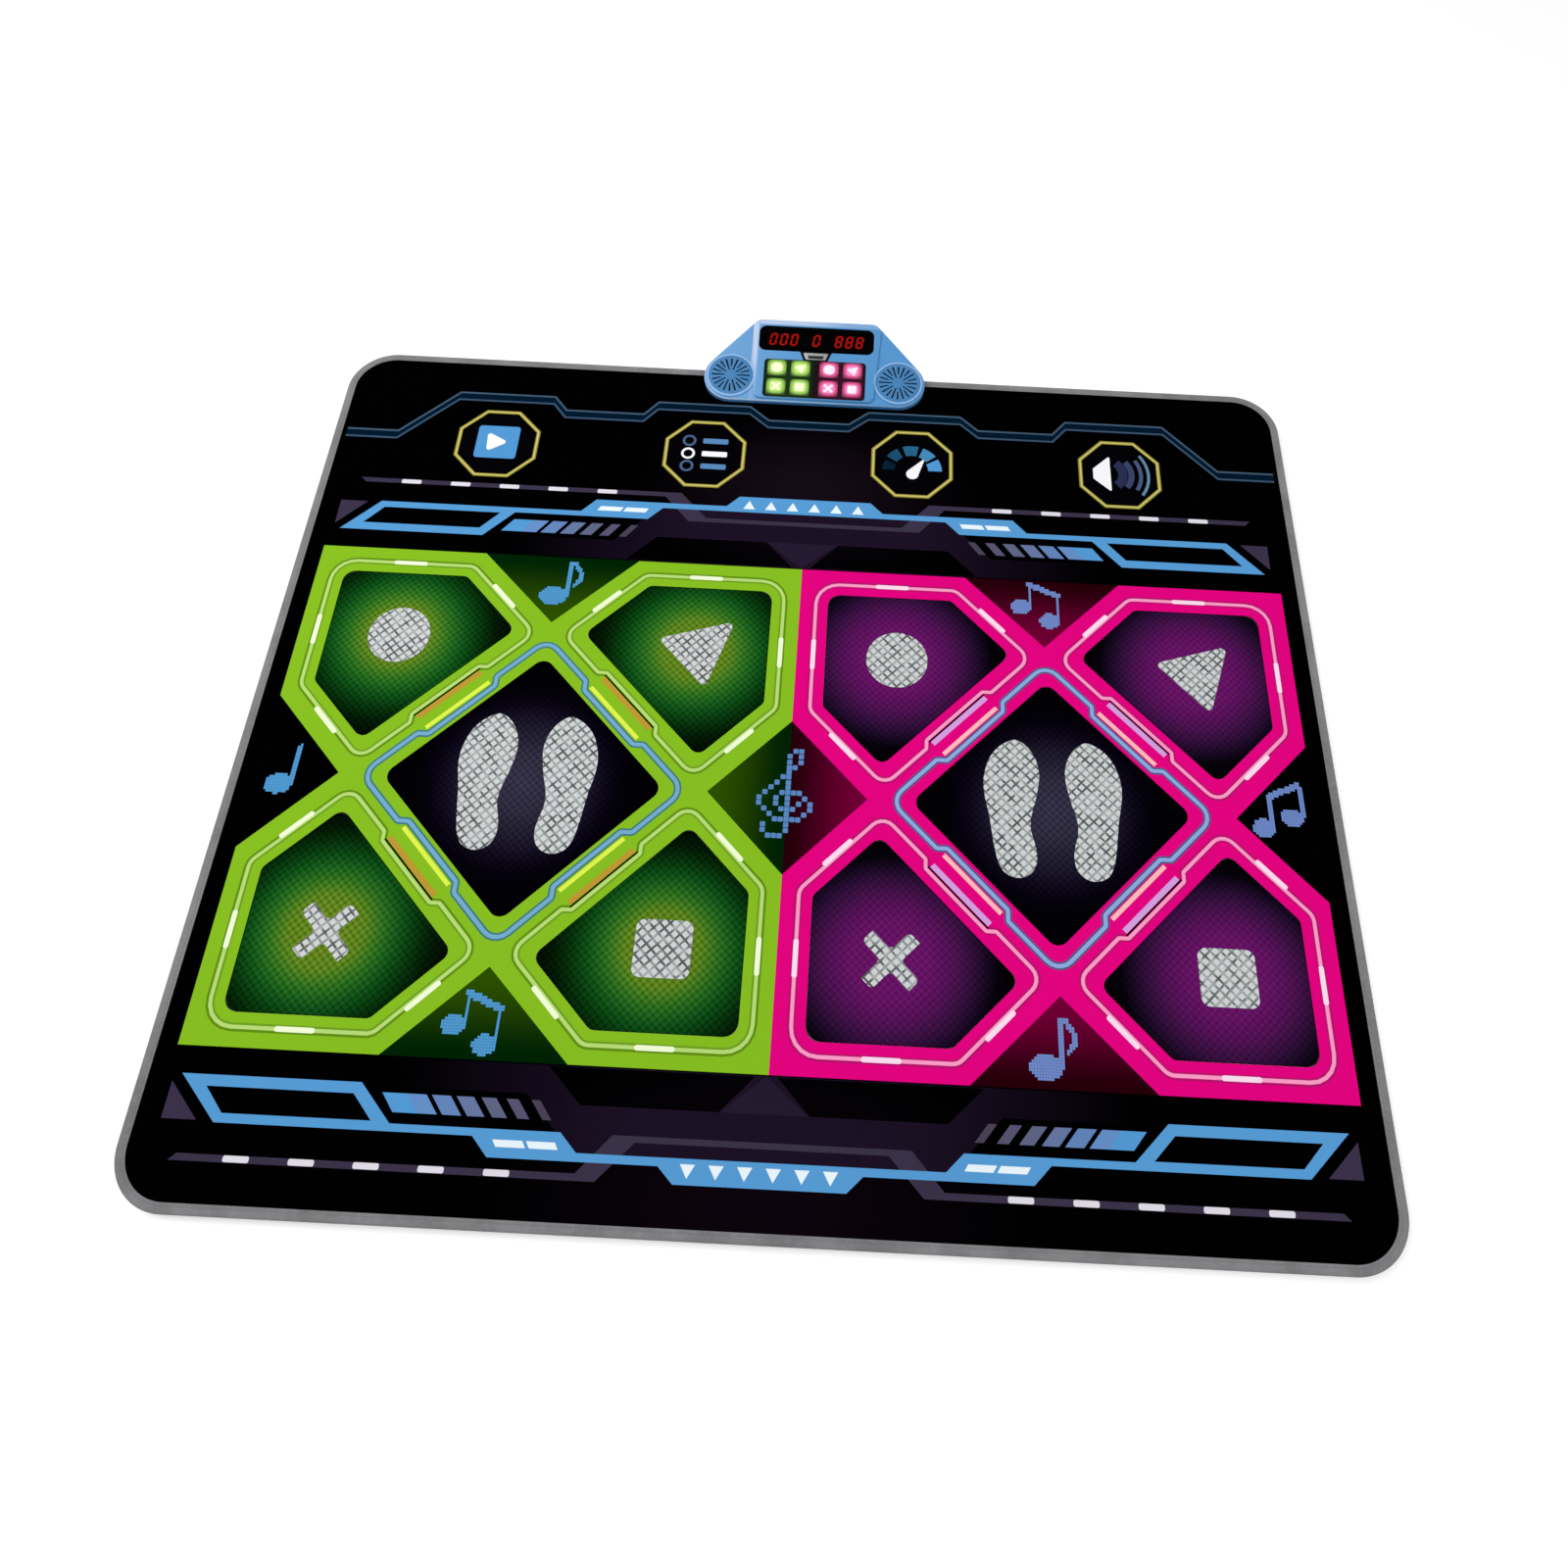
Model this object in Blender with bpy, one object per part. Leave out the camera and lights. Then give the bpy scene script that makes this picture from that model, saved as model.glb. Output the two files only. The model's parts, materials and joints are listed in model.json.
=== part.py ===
"""Two-player electronic dance mat with its control console, in metres, +Z up.

The origin is the centre of the mat's underside.  +X is the players' right, +Y points away
from the players, towards the console on the mat's back edge.
"""

import math

import bmesh
import bpy
from mathutils import Matrix, Vector

for old_object in list(bpy.data.objects):
    bpy.data.objects.remove(old_object, do_unlink=True)

# ---- fits ----
GAP = 0.0003                # between pieces that touch
SLIDE_GAP = 0.0004          # round a piece that slides in a hole

# ---- mat ----
MAT_WIDTH = 1.112
MAT_LENGTH = 0.9411
MAT_CORNER_RADIUS = 0.053
COVER_THICKNESS = 0.0008    # printed top cover and non-slip bottom cover
FILM_THICKNESS = 0.0003
FOAM_THICKNESS = 0.0032
BINDING_WIDTH = 0.0090      # leg of the edge binding on the top and on the underside
BINDING_WALL = 0.0012
BINDING_ROUNDING = 0.0022

# ---- the two players' fields ----
FIELD_SIZE = 0.5285
FIELD_FRONT_MARGIN = 0.1360   # from the mat's front edge to the fields
PAD_EDGE_MARGIN = 0.03065   # from the field's edge to a pad's outer sides
PAD_DIAGONAL_LIMIT = 0.2082 # smallest sum of the two distances from the field's centre
PAD_NOTCH_LIMIT = 0.1334    # largest difference between them
PAD_CORNER_RADIUS = 0.0095
PAD_OUTER_RADIUS = 0.0130   # at the corner farthest from the field's centre
PAD_TRAVEL = 0.0020
CONTACT_GAP = 0.0002        # left under a contact when its pad is pressed
CONTACT_RADIUS = 0.0480

# ---- function pads ----
FUNCTION_PAD_ACROSS = 0.0860
FUNCTION_PAD_SETBACK = 0.12595   # from the mat's back edge to the pads' centres
FUNCTION_PAD_SPACING = 0.2416
FUNCTION_PAD_CORNER_RADIUS = 0.0030

# ---- console housing ----
CONSOLE_OVERLAP = 0.04785   # how far the console reaches over the mat
CONSOLE_FRONT_HEIGHT = 0.0140
CONSOLE_DEPTH = 0.1142
CONSOLE_TILT = math.radians(6.0)
CONSOLE_WALL = 0.0022
CONSOLE_ROUNDING = 0.0024
BACK_CORNER_RADIUS = 0.0140
BACK_CORNER_INSET = 0.0030  # of that corner's centre from the display's end
BASE_PLATE = 0.0015
TRAY_WALL = 0.0016
TRAY_HEIGHT = 0.0065
DECK_THICKNESS = 0.0012
BLOCK_RISE = 0.0025         # raised middle block
BLOCK_SIDE_MARGIN = 0.0113  # from the key bezel to the block's front corners
BLOCK_MARGIN = 0.0024       # from the block's foot to the housing's front and back edges
BLOCK_CORNER_RADIUS = 0.0090
BLOCK_FOOT = 0.0011         # the block's foot stands out by this much
BLOCK_ROUNDING = 0.0012
PUCK_MARGIN = 0.0038        # from a grille to the edge of its raised round, the puck
PUCK_OVERLAP = 0.0017       # of the puck and the block's side
PUCK_RISE = 0.0010
PUCK_ROUNDING = 0.0008
LOBE_MARGIN = 0.0020        # from the puck to the edge of the housing's round end, the lobe

# ---- console face, along the slope from the front edge ----
BEZEL_SETBACK = 0.0039
BEZEL_PROUD = 0.0005
BEZEL_CORNER_RADIUS = 0.0042
KEY_WIDTH = 0.0236
KEY_HEIGHT = 0.0225
KEY_CORNER_RADIUS = 0.0035
KEY_GAP_X = 0.0046
KEY_GAP_Y = 0.0035
KEY_GROUP_GAP = 0.0106      # between the two groups of four
KEY_MARGIN_X = 0.0036       # from the outermost keys to the bezel's edge
KEY_MARGIN_Y = 0.00175
KEY_PROUD = 0.0019
KEY_DEPTH = 0.0030          # below the block's face
KEY_TRAVEL = 0.0012
KEY_ROUNDING = 0.0010
MEMBRANE_THICKNESS = 0.0008
DISPLAY_WIDTH = 0.1385
DISPLAY_HEIGHT = 0.0350
DISPLAY_SETBACK = 0.0110    # from the housing's back edge
DISPLAY_CORNER_RADIUS = 0.0085
LENS_DEPTH = 0.0002         # the lens lies a little below the block's face
LENS_THICKNESS = 0.0010
LENS_LEDGE = 0.0030
LENS_ROUNDING = 0.0004
MODULE_CLEARANCE = 0.0004   # under the lens
DIGIT_WIDTH = 0.0126
DIGIT_HEIGHT = 0.0190
DIGIT_GROUP_X = 0.0395
BADGE_BACK_WIDTH = 0.0300
BADGE_FRONT_WIDTH = 0.0235
BADGE_HEIGHT = 0.0092
BADGE_THICKNESS = 0.0008
BADGE_PROUD = 0.0002
BADGE_CORNER_RADIUS = 0.0008
BOARD_THICKNESS = 0.0012
BOARD_MARGIN = 0.0015

# ---- loudspeakers ----
GRILLE_RADIUS = 0.0262
GRILLE_THICKNESS = 0.0012
GRILLE_LEDGE = 0.0020
GRILLE_SLOTS = 20
SLOT_WIDTH = 0.0016
SLOT_MARGIN = 0.0013        # from a slot's outer end to the edge of the opening below
SLOT_INNER_LONG = 0.0085
SLOT_INNER_SHORT = 0.0130
SPEAKER_RADIUS = 0.0200
SPEAKER_FRAME_DEPTH = 0.0025
MAGNET_RADIUS = 0.0110
MAGNET_DEPTH = 0.0032

# ---- batteries, door, switch ----
CELL_RADIUS = 0.00525
CELL_LENGTH = 0.0445
CELL_GAP = 0.0007
CELL_BUTTON_RADIUS = 0.0019
CELL_BUTTON_LENGTH = 0.0008
CELL_COUNT = 3
DOOR_SIDE_MARGIN = 0.00575  # from a cell's end to the door's edge
DOOR_FRONT_MARGIN = 0.0065  # from the tray's front wall to the door
DOOR_FLANGE = 0.0010        # the door's upper half is wider, and rests on a ledge
DOOR_FLANGE_HEIGHT = 0.0006
SWITCH_INSET = 0.0180       # from the centre of the housing's back corner
SWITCH_Z = 0.0120
SWITCH_KNOB = (0.0050, 0.0040)
SWITCH_TRAVEL = 0.0040
SWITCH_PROUD = 0.0016
SWITCH_COLLAR = 0.0012

# ---- screws, clamp bar, sensor tail ----
SCREW_RADIUS = 0.00125
SCREW_HEAD_RADIUS = 0.0024
SCREW_HEAD_HEIGHT = 0.0012
BOSS_RADIUS = 0.0030
SCREW_REACH = 0.0055        # of a screw into its boss
COLUMN_RADIUS = 0.0045      # round the rear screws, in the base
COLUMN_HEIGHT = 0.0060
COLUMN_SHOULDER = 0.0035
FRONT_SCREW_INSET = 0.0055  # from the block's side
FRONT_SCREW_SETBACK = 0.0233    # from the console's front edge
REAR_SCREW_OFFSET = 0.0130  # outside the centre of the housing's back corner
REAR_SCREW_SETBACK = 0.0302 # from the console's back edge
CLAMP_END = 0.0085          # from a screw to the bar's end
CLAMP_WIDTH = 0.0120
CLAMP_THICKNESS = 0.0014
CLAMP_CORNER_RADIUS = 0.0020
TAIL_WIDTH = 0.0300
TAIL_THICKNESS = 0.00025
TAIL_REACH = 0.0160
TAIL_TOP_REACH = 0.0080
TAIL_SETBACK = 0.0353       # from the console's front edge
TAIL_DROP = 0.0015          # the lead stops this far under the circuit board

# ---- heights of the mat's layers ----
FILM_Z = COVER_THICKNESS + GAP
SPACER_THICKNESS = PAD_TRAVEL + CONTACT_GAP + FILM_THICKNESS - GAP
SPACER_Z = FILM_Z + FILM_THICKNESS + GAP
FOAM_Z = SPACER_Z + SPACER_THICKNESS + GAP
TOP_COVER_Z = FOAM_Z + FOAM_THICKNESS + GAP
MAT_HEIGHT = TOP_COVER_Z + COVER_THICKNESS
CONTACT_Z = FOAM_Z - GAP - FILM_THICKNESS
DECK_Z = MAT_HEIGHT + GAP
DECK_TOP = DECK_Z + DECK_THICKNESS
SKIRT_Z = BASE_PLATE + GAP

# ---- places on the mat ----
MAT_BACK_Y = MAT_LENGTH / 2
FIELD_CENTRE_Y = -MAT_LENGTH / 2 + FIELD_FRONT_MARGIN + FIELD_SIZE / 2
PAD_OUTER_LIMIT = FIELD_SIZE / 2 - PAD_EDGE_MARGIN  # from the field's centre to the outer sides
FUNCTION_PAD_Y = MAT_BACK_Y - FUNCTION_PAD_SETBACK
PAD_MIDDLE = (PAD_OUTER_LIMIT * math.sqrt(2) + PAD_DIAGONAL_LIMIT) / (2 + math.sqrt(2))

# ---- the console's outline, and what lies along it ----
KEY_PITCH_X = KEY_WIDTH + KEY_GAP_X
KEY_PITCH_Y = KEY_HEIGHT + KEY_GAP_Y
KEY_GROUP_SPACING = KEY_WIDTH + KEY_GROUP_GAP
BEZEL_WIDTH = KEY_GROUP_SPACING + 2 * KEY_PITCH_X + KEY_WIDTH + 2 * KEY_MARGIN_X
BEZEL_HEIGHT = KEY_PITCH_Y + KEY_HEIGHT + 2 * KEY_MARGIN_Y
BEZEL_CENTRE = BEZEL_SETBACK + BEZEL_HEIGHT / 2
DISPLAY_CENTRE = CONSOLE_DEPTH - DISPLAY_SETBACK - DISPLAY_HEIGHT / 2
BLOCK_FRONT_WIDTH = BEZEL_WIDTH + 2 * BLOCK_SIDE_MARGIN
GRILLE_OPENING = GRILLE_RADIUS - GRILLE_LEDGE
SLOT_OUTER = GRILLE_OPENING - SLOT_MARGIN
PUCK_RADIUS = GRILLE_RADIUS + PUCK_MARGIN
LOBE_RADIUS = PUCK_RADIUS + LOBE_MARGIN
LOBE_X = BLOCK_FRONT_WIDTH / 2 + PUCK_RADIUS - PUCK_OVERLAP
BACK_CORNER_X = DISPLAY_WIDTH / 2 - BACK_CORNER_INSET
CONSOLE_FRONT_Y = MAT_BACK_Y - CONSOLE_OVERLAP
CONSOLE_BACK_Y = CONSOLE_FRONT_Y + CONSOLE_DEPTH
LOBE_Y = CONSOLE_FRONT_Y + LOBE_RADIUS
SLOPE = math.tan(CONSOLE_TILT)
FRONT_SCREW_X = BLOCK_FRONT_WIDTH / 2 - FRONT_SCREW_INSET
FRONT_SCREW_Y = CONSOLE_FRONT_Y + FRONT_SCREW_SETBACK
REAR_SCREW_X = BACK_CORNER_X + REAR_SCREW_OFFSET
REAR_SCREW_Y = CONSOLE_BACK_Y - REAR_SCREW_SETBACK
CLAMP_LENGTH = 2 * (FRONT_SCREW_X + CLAMP_END)
TAIL_Y = CONSOLE_FRONT_Y + TAIL_SETBACK
CELL_SPACING = 2 * CELL_RADIUS + CELL_GAP
DOOR_WIDTH = CELL_LENGTH + 2 * DOOR_SIDE_MARGIN
SWITCH_X = BACK_CORNER_X - SWITCH_INSET

# ---- depths and places on the console's face ----
KEY_BOTTOM = -KEY_DEPTH - KEY_TRAVEL - GAP
BOARD_TOP = KEY_BOTTOM - MEMBRANE_THICKNESS - GAP
BOARD_BOTTOM = BOARD_TOP - BOARD_THICKNESS
BADGE_SEAT = BADGE_PROUD - BADGE_THICKNESS
BADGE_CENTRE = (BEZEL_CENTRE + BEZEL_HEIGHT / 2 + DISPLAY_CENTRE - DISPLAY_HEIGHT / 2) / 2
LOBE_ALONG = LOBE_RADIUS / math.cos(CONSOLE_TILT) + BLOCK_RISE * math.tan(CONSOLE_TILT)


# ---------------------------------------------------------------- outlines

def rounded_outline(circles, inset=0.0, steps=6):
    """The tight outline round circles (x, y, radius) given counter-clockwise."""
    count = len(circles)
    turns = []
    for i in range(count):
        x0, y0, r0 = circles[i]
        x1, y1, r1 = circles[(i + 1) % count]
        run = math.hypot(x1 - x0, y1 - y0)
        turns.append(math.atan2(y1 - y0, x1 - x0) - math.acos((r0 - r1) / run))
    points = []
    for i in range(count):
        x, y, r = circles[i]
        start = turns[i - 1]
        sweep = (turns[i] - start) % (2 * math.pi)
        for k in range(steps + 1):
            angle = start + sweep * k / steps
            points.append((x + (r - inset) * math.cos(angle), y + (r - inset) * math.sin(angle)))
    return points


def rounded_rectangle(cx, cy, width, height, radius, inset=0.0, steps=4):
    dx = width / 2 - radius
    dy = height / 2 - radius
    corners = [(cx - dx, cy - dy), (cx + dx, cy - dy), (cx + dx, cy + dy), (cx - dx, cy + dy)]
    return rounded_outline([(x, y, radius) for x, y in corners], inset, steps)


def rounded_polygon(corners, grow=0.0, steps=2):
    """A convex polygon of corners (x, y, radius), counter-clockwise, its sides moved out by grow."""
    count = len(corners)
    circles = []
    for i in range(count):
        here = Vector(corners[i][:2])
        before = (here - Vector(corners[i - 1][:2])).normalized()
        after = (Vector(corners[(i + 1) % count][:2]) - here).normalized()
        normal_a = Vector((before.y, -before.x))
        normal_b = Vector((after.y, -after.x))
        bisector = (normal_a + normal_b) / (1 + normal_a.dot(normal_b))
        radius = corners[i][2]
        centre = here - bisector * radius
        circles.append((centre.x, centre.y, radius))
    return rounded_outline(circles, -grow, steps)


def circle_points(cx, cy, radius, steps=24):
    return [(cx + radius * math.cos(2 * math.pi * k / steps),
             cy + radius * math.sin(2 * math.pi * k / steps)) for k in range(steps)]


def rectangle_points(x0, x1, y0, y1):
    return [(x0, y0), (x1, y0), (x1, y1), (x0, y1)]


# ---------------------------------------------------------------- solids

def make_material(name, colour, roughness, metallic=0.0):
    material = bpy.data.materials.new(name)
    material.use_nodes = True
    shader = material.node_tree.nodes["Principled BSDF"]
    shader.inputs["Base Color"].default_value = (*colour, 1.0)
    shader.inputs["Roughness"].default_value = roughness
    shader.inputs["Metallic"].default_value = metallic
    material.diffuse_color = (*colour, 1.0)
    return material


def finish_object(name, bm, material, smooth=True):
    bmesh.ops.recalc_face_normals(bm, faces=bm.faces)
    mesh = bpy.data.meshes.new(name)
    bm.to_mesh(mesh)
    bm.free()
    if smooth:
        mesh.shade_smooth()
        mesh.set_sharp_from_angle(angle=math.radians(35))
    made = bpy.data.objects.new(name, mesh)
    bpy.context.scene.collection.objects.link(made)
    if material:
        made.data.materials.append(material)
    return made


def make_sheet(name, outer, holes, low, high, material):
    """A flat piece: an outline with holes, from height low to height high."""
    bm = bmesh.new()
    for points in [outer] + holes:
        corners = [bm.verts.new((x, y, low)) for x, y in points]
        for i, corner in enumerate(corners):
            bm.edges.new((corner, corners[(i + 1) % len(corners)]))
    bmesh.ops.triangle_fill(bm, use_beauty=True, edges=bm.edges[:], normal=(0, 0, 1))
    raised = bmesh.ops.extrude_face_region(bm, geom=bm.faces[:])["geom"]
    moved = [item for item in raised if isinstance(item, bmesh.types.BMVert)]
    bmesh.ops.translate(bm, verts=moved, vec=(0, 0, high - low))
    return finish_object(name, bm, material)


def make_loft(name, loops, material):
    """A closed piece through loops with equal numbers of points, capped at both ends."""
    bm = bmesh.new()
    rings = [[bm.verts.new(point) for point in loop] for loop in loops]
    count = len(rings[0])
    for lower, upper in zip(rings, rings[1:]):
        for i in range(count):
            j = (i + 1) % count
            bm.faces.new((lower[i], lower[j], upper[j], upper[i]))
    bm.faces.new(list(reversed(rings[0])))
    bm.faces.new(rings[-1])
    return finish_object(name, bm, material)


def make_round(name, profile, material, steps=24):
    """A turned piece about Z through a profile of (radius, height), closed on the axis."""
    loops = []
    for radius, height in profile:
        loops.append([(x, y, height) for x, y in circle_points(0, 0, radius, steps)])
    return make_loft(name, loops, material)


def make_box(name, x0, x1, y0, y1, z0, z1, material=None):
    outline = rectangle_points(x0, x1, y0, y1)
    return make_loft(name, [[(x, y, z) for x, y in outline] for z in (z0, z1)], material)


def flat_loop(points, height):
    return [(x, y, height) for x, y in points]


def rounded_prism(points_at_inset, low, high, rounding, steps=3):
    """Loops of an upright piece whose upper edge is round."""
    loops = [flat_loop(points_at_inset(0), low)]
    for k in range(steps + 1):
        angle = math.pi / 2 * k / steps
        loops.append(flat_loop(points_at_inset(rounding * (1 - math.cos(angle))),
                               high - rounding * (1 - math.sin(angle))))
    return loops


def boolean(target, tool, operation):
    """Cut the tool from the target, or join it to it; the tool stays as a hidden guide."""
    tool.hide_render = True
    tool.display_type = "WIRE"
    step = target.modifiers.new(f"{operation.lower()} {tool.name}", "BOOLEAN")
    step.operation = operation
    step.object = tool
    step.solver = "EXACT"


def put_on(child, parent, location=(0, 0, 0)):
    child.parent = parent
    child.location = location


def make_empty(name, location, parent=None, rotation=(0, 0, 0)):
    empty = bpy.data.objects.new(name, None)
    empty.location = location
    empty.rotation_euler = rotation
    empty.parent = parent
    bpy.context.scene.collection.objects.link(empty)
    return empty


# ---------------------------------------------------------------- materials

print_fabric = make_material("printed fabric", (0.012, 0.012, 0.014), 0.6)
grey_tape = make_material("binding tape", (0.30, 0.30, 0.31), 0.75)
non_slip = make_material("non-slip backing", (0.04, 0.04, 0.045), 0.9)
foam = make_material("cushion foam", (0.55, 0.56, 0.58), 0.95)
spacer = make_material("spacer foam", (0.75, 0.75, 0.72), 0.95)
film = make_material("contact film", (0.55, 0.57, 0.60), 0.35)
carbon = make_material("carbon contact", (0.03, 0.03, 0.03), 0.5)
green_print = make_material("green pad print", (0.05, 0.23, 0.02), 0.6)
pink_print = make_material("pink pad print", (0.10, 0.01, 0.13), 0.6)
blue_plastic = make_material("blue plastic", (0.10, 0.35, 0.68), 0.25)
grille_plastic = make_material("grille plastic", (0.10, 0.32, 0.62), 0.35)
black_plastic = make_material("black plastic", (0.01, 0.01, 0.012), 0.3)
dark_plastic = make_material("base plastic", (0.03, 0.03, 0.035), 0.5)
lens = make_material("smoked lens", (0.01, 0.004, 0.004), 0.05)
led_red = make_material("display module", (0.06, 0.01, 0.01), 0.4)
green_key = make_material("green key", (0.28, 0.60, 0.06), 0.3)
pink_key = make_material("pink key", (0.70, 0.05, 0.27), 0.3)
silver = make_material("badge silver", (0.62, 0.62, 0.63), 0.3, 0.6)
board_green = make_material("circuit board", (0.02, 0.16, 0.06), 0.5)
rubber = make_material("silicone rubber", (0.72, 0.72, 0.70), 0.6)
speaker_black = make_material("loudspeaker", (0.02, 0.02, 0.02), 0.6)
cell_skin = make_material("battery sleeve", (0.04, 0.05, 0.07), 0.35, 0.3)
steel = make_material("zinc-plated steel", (0.62, 0.63, 0.65), 0.3, 1.0)


# ---------------------------------------------------------------- shapes that several pieces share

def mat_outline(inset):
    return rounded_rectangle(0, 0, MAT_WIDTH, MAT_LENGTH, MAT_CORNER_RADIUS, inset, 6)


def pad_corners(side_x, side_y, field_x):
    """The five corners of the step pad in one quarter of a field, counter-clockwise."""
    far = PAD_OUTER_LIMIT
    near = (PAD_DIAGONAL_LIMIT - PAD_NOTCH_LIMIT) / 2
    radius = PAD_CORNER_RADIUS
    corners = [(far, far - PAD_NOTCH_LIMIT, radius), (far, far, PAD_OUTER_RADIUS),
               (far - PAD_NOTCH_LIMIT, far, radius), (near, PAD_DIAGONAL_LIMIT - near, radius),
               (PAD_DIAGONAL_LIMIT - near, near, radius)]
    placed = [(field_x + side_x * x, FIELD_CENTRE_Y + side_y * y, r) for x, y, r in corners]
    if side_x * side_y < 0:
        placed.reverse()
    return placed


def octagon_corners(cx, cy, across):
    reach = across / 2 / math.cos(math.pi / 8)
    return [(cx + reach * math.cos(math.pi / 8 + k * math.pi / 4),
             cy + reach * math.sin(math.pi / 8 + k * math.pi / 4),
             FUNCTION_PAD_CORNER_RADIUS) for k in range(8)]


def console_outline(inset):
    back_y = CONSOLE_BACK_Y - BACK_CORNER_RADIUS
    return rounded_outline([(-LOBE_X, LOBE_Y, LOBE_RADIUS), (LOBE_X, LOBE_Y, LOBE_RADIUS),
                            (BACK_CORNER_X, back_y, BACK_CORNER_RADIUS),
                            (-BACK_CORNER_X, back_y, BACK_CORNER_RADIUS)], inset, 7)


def face_height(y, lift=0.0):
    """Height of the console's sloping top at y, moved along its normal by lift."""
    return (CONSOLE_FRONT_HEIGHT + SLOPE * (y - CONSOLE_FRONT_Y) + lift / math.cos(CONSOLE_TILT))


def sloped_loop(points, lift=0.0):
    return [(x, y, face_height(y, lift)) for x, y in points]


def sloped_prism(points_at_inset, low, lift, rounding, steps=3):
    """Loops of an upright piece under the console's slope, with a round upper edge."""
    loops = [flat_loop(points_at_inset(0), low)]
    for k in range(steps + 1):
        angle = math.pi / 2 * k / steps
        drop = rounding * (1 - math.sin(angle))
        loops.append(sloped_loop(points_at_inset(rounding * (1 - math.cos(angle))), lift - drop))
    return loops


PLAYERS = [("green", -FIELD_SIZE / 2, green_print, green_key, -1),
           ("pink", FIELD_SIZE / 2, pink_print, pink_key, 1)]
SYMBOLS = [("circle", -1, 1), ("triangle", 1, 1), ("cross", -1, -1), ("square", 1, -1)]
FUNCTIONS = ["play", "song", "speed", "volume"]

step_pads = []
for colour, field_x, pad_material, key_material, player in PLAYERS:
    for symbol, side_x, side_y in SYMBOLS:
        centre = (field_x + side_x * PAD_MIDDLE, FIELD_CENTRE_Y + side_y * PAD_MIDDLE)
        step_pads.append((f"{colour}_{symbol}", pad_corners(side_x, side_y, field_x), centre,
                          pad_material))

function_pads = []
for index, purpose in enumerate(FUNCTIONS):
    pad_x = (index - (len(FUNCTIONS) - 1) / 2) * FUNCTION_PAD_SPACING
    function_pads.append((purpose, (pad_x, FUNCTION_PAD_Y)))

clamp_hole = rectangle_points(-CLAMP_LENGTH / 2 - GAP, CLAMP_LENGTH / 2 + GAP,
                              FRONT_SCREW_Y - CLAMP_WIDTH / 2 - GAP,
                              FRONT_SCREW_Y + CLAMP_WIDTH / 2 + GAP)
tail_reach_hole = rectangle_points(-TAIL_WIDTH / 2 - GAP, TAIL_WIDTH / 2 + GAP,
                                   TAIL_Y - TAIL_REACH - GAP, TAIL_Y + TAIL_THICKNESS + GAP)
tail_slot = rectangle_points(-TAIL_WIDTH / 2 - GAP, TAIL_WIDTH / 2 + GAP,
                             TAIL_Y - GAP, TAIL_Y + TAIL_THICKNESS + GAP)
front_screw_holes = [circle_points(side * FRONT_SCREW_X, FRONT_SCREW_Y, SCREW_RADIUS + GAP, 12)
                     for side in (-1, 1)]


def pad_windows(clearance):
    """Holes for the eight step pads and the four function pads."""
    holes = [rounded_polygon(corners, clearance) for _, corners, _, _ in step_pads]
    for _, (x, y) in function_pads:
        holes.append(rounded_polygon(octagon_corners(x, y, FUNCTION_PAD_ACROSS), clearance, 1))
    return holes


def set_origin(made, point):
    """Put the object's origin at a point of the world and leave its mesh where it is."""
    made.data.transform(Matrix.Translation(-Vector(point)))
    made.location = point


# ---------------------------------------------------------------- the mat

def make_binding():
    """Tape with a C-shaped section round the mat's edge, flush with both covers."""
    section = [(BINDING_WIDTH, 0)]
    for k in range(4):
        angle = math.pi / 2 * k / 3
        section.append((BINDING_ROUNDING * (1 - math.sin(angle)),
                        BINDING_ROUNDING * (1 - math.cos(angle))))
    for k in range(4):
        angle = math.pi / 2 * k / 3
        section.append((BINDING_ROUNDING * (1 - math.cos(angle)),
                        MAT_HEIGHT - BINDING_ROUNDING * (1 - math.sin(angle))))
    section += [(BINDING_WIDTH, MAT_HEIGHT), (BINDING_WIDTH, MAT_HEIGHT - COVER_THICKNESS),
                (BINDING_WALL, MAT_HEIGHT - COVER_THICKNESS), (BINDING_WALL, COVER_THICKNESS),
                (BINDING_WIDTH, COVER_THICKNESS)]
    bm = bmesh.new()
    rings = [[bm.verts.new((x, y, z)) for x, y in mat_outline(inset)] for inset, z in section]
    count = len(rings[0])
    for k, ring in enumerate(rings):
        following = rings[(k + 1) % len(rings)]
        for i in range(count):
            j = (i + 1) % count
            bm.faces.new((ring[i], ring[j], following[j], following[i]))
    return finish_object("edge_binding", bm, grey_tape)


def make_mat():
    cover_outline = mat_outline(BINDING_WIDTH + GAP)
    inner_outline = mat_outline(BINDING_WALL + GAP)
    make_sheet("bottom_cover", cover_outline, [], 0, COVER_THICKNESS, non_slip)
    make_binding()
    make_sheet("lower_contact_film", inner_outline, [], FILM_Z, FILM_Z + FILM_THICKNESS, film)
    make_sheet("spacer_foam", inner_outline, pad_windows(SLIDE_GAP) + [tail_reach_hole],
               SPACER_Z, SPACER_Z + SPACER_THICKNESS, spacer)
    make_sheet("cushion_foam", inner_outline, pad_windows(SLIDE_GAP) + [tail_slot, clamp_hole],
               FOAM_Z, FOAM_Z + FOAM_THICKNESS, foam)
    make_sheet("top_cover", cover_outline, pad_windows(GAP) + [tail_slot] + front_screw_holes,
               TOP_COVER_Z, MAT_HEIGHT, print_fabric)


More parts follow.
